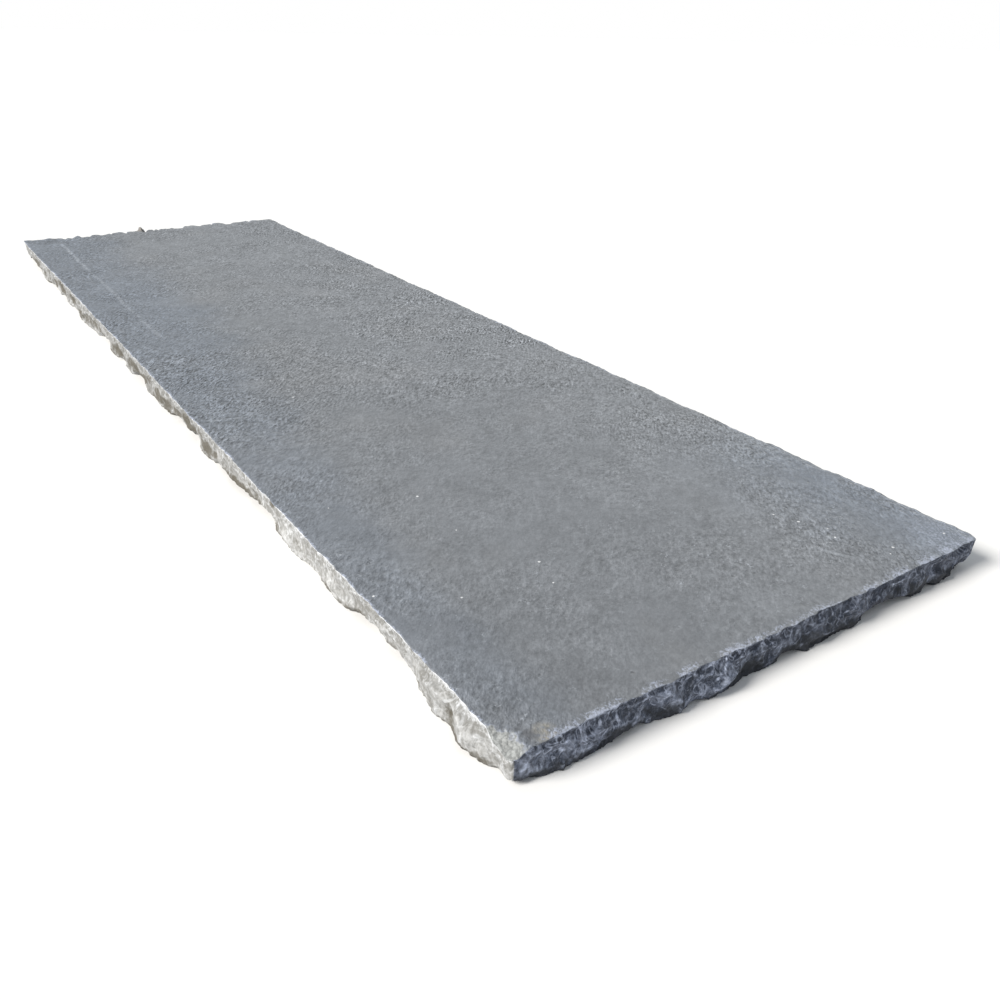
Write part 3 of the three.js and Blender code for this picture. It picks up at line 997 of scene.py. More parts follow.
    def _bed_place(self, block: Vector) -> tuple[Vector, dict[Wear, float]]:
        """Where a place inside the bed goes."""
        return Vector((block.x, block.y, 0)), {Wear.SUNNED: 0.5, Wear.FOOT: 1.0}

    def _arris(self, x: float, y: float) -> Vector:
        """The worn arris beside a place on the block's outline.

        Args:
            x: place along the slab.
            y: place across it.

        Returns:
            The point on the arris.
        """
        s = self.block.measure(x, y)
        point, outward = self.block.worn(x, y)
        reading = self.faces.read(s, THICKNESS, Vector((x, y, THICKNESS)))
        edge = point + outward * reading.offset
        place = Vector((edge.x, edge.y, 0))
        height = self.top.level(edge.x, edge.y) - self.top.bruise(s, 0) - self.top.undulation(place)
        return Vector((edge.x, edge.y, height))

    def _side_place(self, block: Vector) -> tuple[Vector, dict[Wear, float]]:
        """Where a place on the block's sides goes.

        Args:
            block: the place on the block.

        Returns:
            Its place on the stone, and its wear.
        """
        s = self.block.measure(block.x, block.y)
        point, outward = self.block.worn(block.x, block.y)
        arris = self._arris(block.x, block.y)
        share = -block.z / self.levels
        z = arris.z * (1 - share)
        reading = self.faces.read(s, z if share > 0 else THICKNESS, Vector((block.x, block.y, z)))
        offset = reading.offset
        if share < self.arris_share:
            at_arris = (Vector((arris.x, arris.y)) - point).dot(outward)
            offset = at_arris + (offset - at_arris) * ease(share, 0, self.arris_share)
        place = point + outward * offset
        wear = {
            Wear.RIDGE: reading.ridge,
            Wear.HOLLOW: reading.hollow,
            Wear.RIPPLE: reading.ripple,
            Wear.ARRIS: max(0.0, 1 - share * self.arris_fade),
            Wear.FOOT: max(0.0, 1 - z / self.foot_height),
            # Painted light: the front is painted sunlit and the near end shaded.
            Wear.SUNNED: self._sunned(outward),
            Wear.FRESH: self.top.corner_flake(place.x, place.y),
            Wear.SOIL: max(0.0, self.faces.soiled(s, z)),
        }
        return Vector((place.x, place.y, z)), wear

    @staticmethod
    def _sunned(outward: Vector) -> float:
        """How far the dressed face is painted as sunlit: wholly on the front, half on the back and the far
        end, not at all on the near end.
        """
        front, near = ease(-outward.y, 0.55, 0.85), ease(outward.x, 0.5, 0.85)
        return front + 0.5 * (1 - front) * (1 - near)

    def _bruise_width(self, x: float, y: float) -> float:
        """How far the bruise runs in from a place of the outline.

        Args:
            x: place along the slab.
            y: place across it.

        Returns:
            The width.
        """
        if x > HALF_LENGTH - MM:
            narrow, wide = self.bruised_near
            return narrow + (wide - narrow) * ease(y, 60, HALF_WIDTH)
        if y < MM - HALF_WIDTH:
            return self.bruised_front
        return self.bruised_back if y > HALF_WIDTH - MM else self.bruised_far

    def _top_place(self, block: Vector) -> tuple[Vector, dict[Wear, float]]:
        """Where a place inside the top goes. It is dragged along with the arris where that is close.

        Args:
            block: the place on the block.

        Returns:
            Its place on the stone, and its wear.
        """
        flat = Vector((block.x, block.y))
        corners = (
            Vector((math.copysign(HALF_LENGTH, block.x), block.y)),
            Vector((block.x, math.copysign(HALF_WIDTH, block.y))),
        )
        drag, weights, drop, bruised = Vector((0, 0)), 0.0, 0.0, 0.0
        for edge in corners:
            inset = (edge - flat).length
            weight = 1 / (inset * inset)
            weights += weight
            if inset < self.drag_reach:
                arris = self._arris(edge.x, edge.y)
                hold = 1 - ease(inset, 0, self.drag_reach)
                drag += (Vector((arris.x, arris.y)) - edge) * hold * weight
                drop = max(drop, self.top.bruise(self.block.measure(edge.x, edge.y), inset))
                bruised = max(bruised, 1 - inset / self._bruise_width(edge.x, edge.y))
        flat += drag / weights
        place = Vector((flat.x, flat.y, 0))
        height = self.top.level(flat.x, flat.y) - drop - self.top.undulation(place)
        wear = {Wear.ARRIS: bruised, Wear.FRESH: self.top.corner_flake(flat.x, flat.y)}
        return Vector((flat.x, flat.y, height)), wear


class Op(Enum):
    """Sums that a maths node does."""

    ADD = "ADD"
    SUBTRACT = "SUBTRACT"
    MULTIPLY = "MULTIPLY"
    DIVIDE = "DIVIDE"
    LARGEST = "MAXIMUM"
    ABSOLUTE = "ABSOLUTE"


class SocketKind(Enum):
    """Kinds of socket that a node group has."""

    VALUE = "NodeSocketFloat"
    VECTOR = "NodeSocketVector"


@dataclass(frozen=True)
class Wire:
    """The loose end of a wire on a bench: a value, a place or a colour that changes over the surface."""

    bench: "Bench"
    socket: Socket

    def __add__(self, other: Any) -> "Wire":
        """This and another together."""
        return self.bench.sum(Op.ADD, self, other)

    def __radd__(self, other: float) -> "Wire":
        """A number and this together."""
        return self.bench.sum(Op.ADD, other, self)

    def __sub__(self, other: Any) -> "Wire":
        """This less another."""
        return self.bench.sum(Op.SUBTRACT, self, other)

    def __rsub__(self, other: float) -> "Wire":
        """A number less this."""
        return self.bench.sum(Op.SUBTRACT, other, self)

    def __mul__(self, other: Any) -> "Wire":
        """This times another."""
        return self.bench.sum(Op.MULTIPLY, self, other)

    def __truediv__(self, other: Any) -> "Wire":
        """This divided by another."""
        return self.bench.sum(Op.DIVIDE, self, other)

    def __rtruediv__(self, other: float) -> "Wire":
        """A number divided by this."""
        return self.bench.sum(Op.DIVIDE, other, self)

    def __abs__(self) -> "Wire":
        """This without its sign."""
        return self.bench.sum(Op.ABSOLUTE, self)

    def or_more(self, other: Any) -> "Wire":
        """The larger of this and another."""
        return self.bench.sum(Op.LARGEST, self, other)

    def step(self, low: float, high: float) -> "Wire":
        """A smooth step from 0 at the first limit to 1 at the second, which may be the lower one."""
        given = {"Value": self, "From Min": low, "From Max": high}
        return self.bench.put("ShaderNodeMapRange", given, interpolation_type="SMOOTHSTEP")["Result"]

    def between(self, first: Any, second: Any) -> "Wire":
        """Mixes two numbers, with this as the share of the second."""
        return self.bench.put("ShaderNodeMix", {0: self, 2: first, 3: second}, data_type="FLOAT")[0]

    def tint(self, first: Any, second: Any) -> "Wire":
        """Mixes two colours, with this as the share of the second."""
        return self.bench.put("ShaderNodeMix", {0: self, 6: first, 7: second}, data_type="RGBA")[2]

    def stain(self, share: "Wire", colour: Any) -> "Wire":
        """This colour with a share of another laid over it."""
        return share.tint(self, colour)

    def shade(self, factor: Any) -> "Wire":
        """This colour or place multiplied by a factor."""
        given = {"Vector": self, "Scale": factor}
        return self.bench.put("ShaderNodeVectorMath", given, operation="SCALE")["Vector"]


@dataclass(frozen=True)
class Placed:
    """A node that was put in a tree."""

    bench: "Bench"
    node: bpy.types.Node

    def __getitem__(self, key: int | str) -> Wire:
        """One of its outputs."""
        return Wire(self.bench, self.node.outputs[key])


class Bench:
    """A node tree in hand: puts nodes in it and wires them."""

    def __init__(self, tree: bpy.types.NodeTree) -> None:
        """Takes a tree in hand."""
        self.tree = tree

    def feed(self, socket: Socket, value: Any) -> None:
        """Wires an input, or sets its value.

        Args:
            socket: the input.
            value: a wire or a constant.
        """
        if isinstance(value, Wire):
            self.tree.links.new(value.socket, socket)
        else:
            socket.default_value = value

    def put(self, kind: str, given: dict[int | str, Any] | None = None, **settings: Any) -> Placed:
        """Puts a node in the tree.

        Args:
            kind: Blender's name of the node type.
            given: what each of its inputs gets.
            settings: its properties.

        Returns:
            The node.
        """
        made = self.tree.nodes.new(kind)
        for name, value in settings.items():
            setattr(made, name, value)
        for key, value in (given or {}).items():
            self.feed(made.inputs[key], value)
        return Placed(self, made)

    def sum(self, op: Op, first: Any, second: Any = 0.0, clamp: bool = False) -> Wire:
        """Does a sum; a clamped result stays from 0 to 1."""
        return self.put("ShaderNodeMath", {0: first, 1: second}, operation=op.value, use_clamp=clamp)[0]

    def vectors(self, operation: str, *given: Any) -> Placed:
        """Does a sum with places or directions."""
        return self.put("ShaderNodeVectorMath", dict(enumerate(given)), operation=operation)

    def axes(self, place: Wire) -> tuple[Wire, Wire, Wire]:
        """The three parts of a place."""
        parts = self.put("ShaderNodeSeparateXYZ", {0: place})
        return parts["X"], parts["Y"], parts["Z"]

    def noise(
        self, place: Wire, size: Any, detail: float = 2.0, roughness: float = 0.5, distortion: float = 0.0
    ) -> Wire:
        """Noise with lumps of a size in millimetres."""
        given = {"Vector": place, "Scale": 1 / MM / size, "Detail": detail, "Roughness": roughness}
        return self.put("ShaderNodeTexNoise", given | {"Distortion": distortion})["Fac"]

    def squeezed(self, place: Wire, share: float, gain: float, angle: float) -> Wire:
        """A place with its way in one level direction made shorter, so that patterns grow longer that way.

        Args:
            place: the place.
            share: share of the way that is left in the middle of the slab.
            gain: how much that grows with each metre of the way.
            angle: angle of the direction from the slab's length, in degrees.

        Returns:
            The new place.
        """
        given = {"Vector": place, "Angle": math.radians(-angle)}
        x, y, z = self.axes(self.put("ShaderNodeVectorRotate", given, rotation_type="Z_AXIS")["Vector"])
        return self.put("ShaderNodeCombineXYZ", {"X": x * (x * gain + share), "Y": y, "Z": z})["Vector"]


class Effect:
    """A shader node group that the finishes share, built once and put in each with its own values."""

    name = "effect"
    places: tuple[str, ...] = ("Place",)
    values: tuple[str, ...] = ()
    outputs: tuple[str, ...] = ("Mask",)

    def __init__(self) -> None:
        """Makes the group's sockets and wires its inside."""
        self.tree = bpy.data.node_groups.new(self.name, "ShaderNodeTree")
        self._add_sockets("INPUT", SocketKind.VECTOR, self.places)
        self._add_sockets("INPUT", SocketKind.VALUE, self.values)
        self._add_sockets("OUTPUT", SocketKind.VALUE, self.outputs)
        self.bench = Bench(self.tree)
        self.given = self.bench.put("NodeGroupInput")
        self.bench.put("NodeGroupOutput", self.wired())

    def _add_sockets(self, in_out: str, kind: SocketKind, names: tuple[str, ...]) -> None:
        """Adds sockets of one kind to the group's inputs or outputs."""
        for name in names:
            self.tree.interface.new_socket(name=name, in_out=in_out, socket_type=kind.value)

    def wired(self) -> dict[str, Wire]:
        """Wires the inside of the group and says what each output gets."""
        raise NotImplementedError

    def put(self, bench: Bench, **values: Any) -> Placed:
        """Puts the group in a material's tree, with what each of its inputs gets."""
        return bench.put("ShaderNodeGroup", values, node_tree=self.tree)


class StoneGrain(Effect):
    """Fine grain of the limestone."""

    name = "stone_grain"
    values = ("Size",)
    outputs = ("Tone",)

    def wired(self) -> dict[str, Wire]:
        """A noise with its contrast raised."""
        grain = self.bench.noise(self.given["Place"], self.given["Size"], roughness=0.6)
        return {"Tone": grain.step(0.25, 0.75)}


class BusyRelief(Effect):
    """Little lumps and hollows that come in busy patches with smooth stone between them."""

    name = "busy_relief"
    values = ("Size", "Patch")
    outputs = ("Height", "Busy")

    def wired(self) -> dict[str, Wire]:
        """Lumps from a finer noise, shown where a coarser one is strong.

        Returns:
            The height, near a half, and how busy the stone is.
        """
        place = self.given["Place"]
        patches = self.bench.noise(place, self.given["Patch"], detail=3.0, roughness=0.6)
        busy = patches.step(0.38, 0.62).between(0.35, 1.0)
        lumps = self.bench.noise(place, self.given["Size"], detail=2.5, roughness=0.55)
        return {"Height": 0.5 + (lumps - 0.5) * busy, "Busy": busy}


class Pits(Effect):
    """Scattered small pits, each with a raised rim."""

    name = "pits"
    values = ("Spacing", "Radius", "Share")
    outputs = ("Mask", "Rim")

    def wired(self) -> dict[str, Wire]:
        """Keeps a share of the scattered points and opens a pit round each.

        Returns:
            The masks of the pits and of their rims.
        """
        place, spacing = self.given["Place"], self.given["Spacing"]
        cells = self.bench.put("ShaderNodeTexVoronoi", {"Vector": place, "Scale": 1 / MM / spacing})
        chance = self.bench.put("ShaderNodeSeparateColor", {"Color": cells["Color"]})
        kept = (self.given["Share"] - chance["Red"]).step(0.0, 0.02)
        size = self.given["Radius"] * chance["Green"].between(0.5, 1.2)
        away = cells["Distance"] * spacing / size
        ring = away.step(0.8, 1.15) * away.step(1.8, 1.2)
        return {"Mask": away.step(1.0, 0.3) * kept, "Rim": ring * kept}


class Bruising(Effect):
    """Crushed stone along worn edges, broken up by the grain."""

    name = "bruising"
    values = ("Wear", "Size", "Ragged")

    def wired(self) -> dict[str, Wire]:
        """Lets a noise eat into the wear.

        Returns:
            The mask of the crushed stone.
        """
        wear = self.given["Wear"]
        eaten = self.bench.noise(self.given["Place"], self.given["Size"], detail=3.0, roughness=0.7)
        spread = (eaten - 0.5) * self.given["Ragged"]
        return {"Mask": (wear + spread).step(0.15, 1.05) * wear.step(0.0, 0.25)}


class Strokes(Effect):
    """Fine streaks down the dressed faces, which lean as the chisel did."""

    name = "strokes"
    values = ("Width", "Length", "Lean")
    outputs = ("Tone",)

    def wired(self) -> dict[str, Wire]:
        """Stretches a noise down the face: x plus y runs along all four sides.

        Returns:
            The tone of the streaks.
        """
        x, y, z = self.bench.axes(self.given["Place"])
        sway = self.bench.noise(self.given["Place"], 30.0, detail=1.0) - 0.5
        leaning = x + y + z * (self.given["Lean"] + sway * 2.5)
        given = {"X": leaning / self.given["Width"], "Y": z / self.given["Length"]}
        stretched = self.bench.put("ShaderNodeCombineXYZ", given)["Vector"]
        return {"Tone": self.bench.noise(stretched, 1.0, detail=3.0, roughness=0.6).step(0.25, 0.75)}


class Swirls(Effect):
    """Pale crushed stone that the blows left in swirls: a haze, and thin lines that wind through it."""

    name = "swirls"
    values = ("Size",)
    outputs = ("Haze", "Line")

    def wired(self) -> dict[str, Wire]:
        """Twists a noise by itself and takes its high places and one of its levels.

        Returns:
            The masks of the haze and of the lines.
        """
        place, size = self.given["Place"], self.given["Size"]
        swirl = self.bench.noise(place, size, detail=1.2, distortion=1.6)
        shown = self.bench.noise(place, size * 0.8, detail=4.0, roughness=0.65)
        haze = self.bench.noise(place, size, detail=4.0, roughness=0.62, distortion=0.8)
        line = abs(swirl - 0.5).step(0.065, 0.0) * shown.step(0.36, 0.6)
        return {"Haze": haze.step(0.48, 0.68), "Line": line}


class Line(Effect):
    """A straight mark between two points that wanders a little and thins out at its ends."""

    name = "line"
    places = ("Place", "Start", "End")
    values = ("Width", "Wander")
    wander_size = 40

    def wired(self) -> dict[str, Wire]:
        """Measures the distance to the line, whose width and wander are in millimetres.

        Returns:
            The mask of the line.
        """
        bench, place, start = self.bench, self.given["Place"], self.given["Start"]
        given = {"Vector": place, "Scale": 1 / MM / self.wander_size}
        stray = bench.vectors("SUBTRACT", bench.put("ShaderNodeTexNoise", given)["Color"], (0.5, 0.5, 0.5))
        moved = bench.vectors("ADD", place, stray["Vector"].shade(self.given["Wander"] * MM))["Vector"]
        flat = bench.vectors("MULTIPLY", moved, (1, 1, 0))["Vector"]
        way = bench.vectors("SUBTRACT", self.given["End"], start)["Vector"]
        there = bench.vectors("SUBTRACT", flat, start)["Vector"]
        along, whole = (bench.vectors("DOT_PRODUCT", part, way)["Value"] for part in (there, way))
        share = bench.sum(Op.DIVIDE, along, whole, clamp=True)
        gap = bench.vectors("SUBTRACT", there, way.shade(share))["Vector"]
        away = bench.vectors("LENGTH", gap)["Value"] / (self.given["Width"] * (MM / 2))
        return {"Mask": away.step(1.6, 0.4) * (share.step(0.0, 0.12) * share.step(1.0, 0.8))}


class StoneEffects:
    """The effects that the stone's finishes share."""

    def __init__(self) -> None:
        """Builds each group once."""
        self.grain = StoneGrain()
        self.relief = BusyRelief()
        self.pits = Pits()
        self.bruising = Bruising()
        self.strokes = Strokes()
        self.swirls = Swirls()
        self.line = Line()


class Finish:
    """A material in the making: a shader that the tree on the bench feeds."""

    name = "finish"

    def __init__(self) -> None:
        """Makes a material with only its shader."""
        self.material = bpy.data.materials.new(self.name)
        self.material.use_nodes = True
        self.material.node_tree.nodes.clear()
        self.bench = Bench(self.material.node_tree)
        self.shader = self.bench.put("ShaderNodeBsdfPrincipled")
        self.bench.put("ShaderNodeOutputMaterial", {"Surface": self.shader["BSDF"]})

    def fill(self, given: dict[str, Any]) -> None:
        """Feeds the shader's inputs."""
        for name, value in given.items():
            self.bench.feed(self.shader.node.inputs[name], value)


class FloorPaint(Finish):
    """Plain matt paint of the studio floor."""

    name = "floor_paint"
    colour: Colour = (0.90, 0.90, 0.90, 1)

    def __init__(self) -> None:
        """Mixes the paint."""
        super().__init__()
        self.fill({"Base Color": self.colour, "Roughness": 0.9, "Specular IOR Level": 0.1})


class StoneFinish(Finish):
    """A finish of the stone."""

    def __init__(self, effects: StoneEffects) -> None:
        """Mixes the finish.

        Args:
            effects: the shared node groups.
        """
        super().__init__()
        self.effects = effects
        self.place = self.bench.put("ShaderNodeTexCoord")["Object"]
        self.mix()

    def mix(self) -> None:
        """Wires what the shader is fed with."""
        raise NotImplementedError

    def put(self, effect: Effect, **values: Any) -> Placed:
        """Puts a shared effect in the material, at the place on the piece unless it is given another."""
        return effect.put(self.bench, **({"Place": self.place} | values))

    def wear(self, kind: Wear) -> Wire:
        """One of the mesh's wear attributes."""
        return self.bench.put("ShaderNodeAttribute", attribute_name=kind.value)["Fac"]

    def noise(self, size: float, detail: float = 2.0, roughness: float = 0.5) -> Wire:
        """Noise over the piece, from 0 to 1 and mostly near a half."""
        return self.bench.noise(self.place, size, detail, roughness)

    def sway(self, size: float, detail: float = 2.0, roughness: float = 0.5) -> Wire:
        """Noise over the piece that sways about nought."""
        return self.noise(size, detail, roughness) - 0.5

    def carve(self, height: Wire) -> None:
        """Gives the shader its fine relief, whose height is in millimetres."""
        self.fill({"Normal": self.bench.put("ShaderNodeBump", {"Distance": MM, "Height": height})["Normal"]})


@dataclass(frozen=True)
class Mark:
    """A scratch or vein on the top."""

    start: tuple[float, float]
    end: tuple[float, float]
    width: float
    wander: float
    strength: float


class RivenFinish(StoneFinish):
    """Finish of the riven top."""

    name = "riven_limestone"
    neutral: Colour = (0.165, 0.176, 0.194, 1)
    bluish: Colour = (0.151, 0.173, 0.210, 1)
    brown: Colour = (0.192, 0.183, 0.176, 1)
    pale: Colour = (0.46, 0.50, 0.56, 1)
    crushed: Colour = (0.42, 0.465, 0.585, 1)
    crystal: Colour = (0.75, 0.76, 0.78, 1)
    fresh: Colour = (0.330, 0.345, 0.345, 1)
    fresh_dark: Colour = (0.165, 0.172, 0.172, 1)
    rust: Colour = (0.30, 0.285, 0.25, 1)
    soot: Colour = (0.07, 0.07, 0.075, 1)
    crumb: Colour = (0.26, 0.235, 0.205, 1)
    cleft_angle: float = -38.0
    strip_near: float = 45.0
    strip_far: float = 130.0
    roughness: float = 0.55
    specular: float = 0.5
    dust: float = 0.30
    dust_roughness: float = 0.5
    dust_tint: Colour = (0.90, 0.95, 1.0, 1)
    frost_at: Spot = (748, 224, 72)
    rust_at: Spot = (744, -199, 10)
    crumb_at: Spot = (-747, -25, 11)
    soot_at: tuple[Spot, ...] = ((741, -207, 6), (411, -188, 3.0), (613, -166, 2.5))
    marks: tuple[Mark, ...] = (
        Mark((-470, -175), (-722, -173), 5.0, 6.0, 0.55),
        Mark((-60, -177), (-500, -175), 5.0, 7.0, 0.30),
        Mark((207, -218), (219, -176), 3.0, 9.0, 0.45),
        Mark((251, -229), (275, -172), 2.0, 9.0, 0.3),
        Mark((688, 98), (730, 119), 4.0, 5.0, 0.25),
    )

    def mix(self) -> None:
        """Wires the colour of the top, its dusty sheen and its fine relief."""
        effects = self.effects
        self.coarse = self._coarseness()
        bedding = self.bench.squeezed(self.place, 0.64, 0.12, self.cleft_angle)
        grain = self.put(effects.grain, Place=bedding, Size=1.8)["Tone"]
        relief = self.put(effects.relief, Place=bedding, Size=4.6, Patch=65.0)
        pits = self.put(effects.pits, Spacing=17.0, Radius=1.6, Share=0.5)
        dots = self.put(effects.pits, Spacing=6.5, Radius=0.8, Share=0.3)["Mask"]
        specks = self.put(effects.pits, Spacing=7.5, Radius=0.8, Share=0.25)["Mask"]
        flecks = self._flecks()
        colour = self._ground().shade(self._mottling(bedding, relief["Height"]))
        colour = colour.shade(1.0 + (grain - 0.5) * (self.coarse * 0.26)).shade(1.0 + flecks)
        colour = colour.shade(pits["Mask"].between(1.0, 0.70)).shade(pits["Rim"].between(1.0, 1.12))
        colour = colour.shade((dots * relief["Busy"] * self.coarse).between(1.0, 0.68))
        colour = colour.stain(self._squiggles(relief["Busy"]), self.pale)
        colour = colour.stain(specks * self.coarse * 0.46, self.pale)
        for mark in self.marks:
            colour = colour.stain(self._drawn(mark), self.pale)
        colour = self._stained(colour)
        bruised = (self.sway(24.0, detail=3.0) * 5.5 + 0.55) * self.wear(Wear.ARRIS)
        bruise = self.put(effects.bruising, Wear=bruised, Size=2.0, Ragged=4.6)["Mask"]
        colour = self._broken_corner(grain, colour.stain(bruise * 0.72, self.crushed))
        colour = colour.stain(self._corner_frost(), self.crushed).stain(self._crystals(), self.crystal)
        self.fill({
            "Base Color": colour,
            "Roughness": grain.between(self.roughness - 0.08, self.roughness + 0.08),
            "Specular IOR Level": self.specular,
            "Sheen Weight": self.dust,
            "Sheen Roughness": self.dust_roughness,
            "Sheen Tint": self.dust_tint,
        })
        height = relief["Height"] * (self.coarse + 1.2) * 0.95 + grain * self.coarse * 0.11
        self.carve(height - pits["Mask"] * 0.4 - dots * 0.2 + bruise * 0.15 + flecks * 0.5)

    def _coarseness(self) -> Wire:
        """How coarse the grain is: coarser on the far half of the slab and towards its long edges.

        Returns:
            What the strength of the grain is multiplied by.
        """
        x, y, _ = self.bench.axes(self.place)
        far = x.step(0.62, 0.08)
        beside, back = abs(y).step(0.08, 0.19), y.step(-0.05, 0.16)
        coarse = far.between(0.9, 1.5) + beside * far.between(0.1, 0.25) + back * far.between(0.4, 0.38)
        return coarse * self.noise(75.0).step(0.36, 0.64).between(0.8, 1.2)

    def _flecks(self) -> Wire:
        """Short flecks that lie aslant, as the cleft does; they are strong where it is coarse.

        Returns:
            What they add to the tone, more or less than nothing.
        """
        aslant = self.bench.squeezed(self.place, 0.40, 0.05, self.cleft_angle)
        flecks = self.bench.noise(aslant, 2.3, detail=1.5, roughness=0.6) - 0.5
        return flecks * ((self.coarse - 0.92).or_more(0.0) * 3.7)

    def _ground(self) -> Wire:
        """Neutral stone, with a bluish strip along the front and a bluish near back corner, and painted light
        that makes it a little darker towards the far end and, on the far half, lighter towards the back.

        Returns:
            The colour.
        """
        x, y, _ = self.bench.axes(self.place)
        cloud = self.noise(60.0, detail=4.0, roughness=0.6)
        far = x.step(HALF_LENGTH * MM, -0.3)
        width = far.between(self.strip_near * MM, self.strip_far * MM)
        ratio = (y + HALF_WIDTH * MM) / width + (cloud - 0.5)
        strip = ratio.step(1.35, 0.6) * far.between(0.4, 1.0)
        corner = x.step(0.42, 0.64) * (y + cloud * 0.08).step(0.12, 0.26)
        warm = self.noise(110.0, detail=3.0, roughness=0.55).step(0.5, 0.68)
        colour = strip.or_more(corner).tint(self.neutral, self.bluish).stain(warm * 0.12, self.brown)
        # Painted light: darker towards the far end, and on the far half lighter towards the back and darker
        # towards the front.
        colour = colour.shade(x.step(0.65, 0.1).between(0.98, 0.95))
        across = y.step(-0.1, 0.13).between(0.975, 1.06)
        colour = colour.shade(x.step(0.45, 0.1).between(1.0, across))
        return colour.shade(cloud.step(0.3, 0.7).between(0.92, 1.08))

    def _mottling(self, bedding: Wire, lumps: Wire) -> Wire:
        """Lighter and darker mottles of three sizes, drawn out as the cleft is.

        Args:
            bedding: the place, squeezed along the cleft.
            lumps: height of the fine lumps.

        Returns:
            What the colour is multiplied by.
        """
        broad = self.bench.noise(bedding, 26.0, detail=3.0, roughness=0.6).step(0.3, 0.7).between(0.94, 1.06)
        small = self.bench.noise(bedding, 10.0, detail=3.0, roughness=0.65) - 0.5
        fine = (lumps - 0.5) * self.coarse.between(0.8, 1.3)
        return broad * (1.0 + small * self.coarse * 0.65) * (1.0 + fine)

    def _squiggles(self, busy: Wire) -> Wire:
        """Thin pale crooked lines, the broken rims of the cleft, where the stone is busy."""
        line = abs(self.sway(8.5, roughness=0.6)).step(0.022, 0.004)
        shown = self.noise(13.0, detail=1.0).step(0.52, 0.64) * self.noise(2.2, detail=1.0).step(0.42, 0.6)
        return line * shown * busy * 0.5

    def _drawn(self, mark: Mark) -> Wire:
        """How strongly a scratch or vein shows.

        Args:
            mark: the mark.

        Returns:
            Its mask.
        """
        start, end = ((x * MM, y * MM, 0.0) for x, y in (mark.start, mark.end))
        line = self.put(self.effects.line, Start=start, End=end, Width=mark.width, Wander=mark.wander)["Mask"]
        return line * self.noise(9.0, detail=4.0, roughness=0.65).step(0.32, 0.62) * mark.strength

    def _spot(self, x: float, y: float, radius: float) -> Wire:
        """A soft round spot.

        Args:
            x: its middle along the slab.
            y: its middle across it.
            radius: its radius.

        Returns:
            Its mask.
        """
        flat = self.bench.vectors("MULTIPLY", self.place, (1, 1, 0))["Vector"]
        away = self.bench.vectors("DISTANCE", flat, (x * MM, y * MM, 0))["Value"]
        return away.step(radius * MM, radius * MM * 0.4)

    def _stained(self, colour: Wire) -> Wire:
        """The rusty stain and the dark spots on the front half, and the brown crumb on the far edge.

        Args:
            colour: the colour so far.

        Returns:
            The new colour.
        """
        rust = self._spot(*self.rust_at) * self.noise(5.0, detail=3.0).step(0.25, 0.7)
        colour = colour.stain(rust, self.rust).stain(self._spot(*self.crumb_at), self.crumb)
        soot = reduce(Wire.or_more, (self._spot(*spot) for spot in self.soot_at))
        return colour.stain(soot * 0.45, self.soot)

    def _broken_corner(self, grain: Wire, colour: Wire) -> Wire:
        """Fresh speckled stone where the near front corner is lost, with a pale rim.

        Args:
            grain: tone of the grain.
            colour: the colour so far.

        Returns:
            The new colour.
        """
        depth = self.wear(Wear.FRESH) + self.sway(4.5, detail=4.0) * 1.7
        speckle = self.noise(2.4, detail=3.0, roughness=0.65).step(0.32, 0.68)
        inside = speckle.tint(self.fresh_dark, self.fresh).shade(grain.between(0.9, 1.1))
        rim = depth.step(-0.35, 0.02) * depth.step(0.22, 0.06)
        colour = colour.stain(depth.step(-0.04, 0.10), inside)
        return colour.stain(rim * speckle * 0.4, self.crushed)

    def _corner_frost(self) -> Wire:
        """Frosty pale speckle on the near back corner."""
        fine = self.noise(1.9, detail=3.0, roughness=0.65).step(0.46, 0.66)
        return self._spot(*self.frost_at) * fine * 0.52

    def _crystals(self) -> Wire:
        """The single bright crystals, of three sizes."""
        spots = (self._spot(x, y, 0.9 + 0.3 * (number % 3)) for number, (x, y) in enumerate(CRYSTALS))
        return reduce(Wire.or_more, spots)


@dataclass(frozen=True)
class SideTones:
    """Colours of a dressed side in painted shade or in painted sunlight: its hollows, the two tones of its
    plain face, its ridges and its foot.
    """

    hollow: Colour
    low: Colour
    high: Colour
    ridge: Colour
    foot: Colour


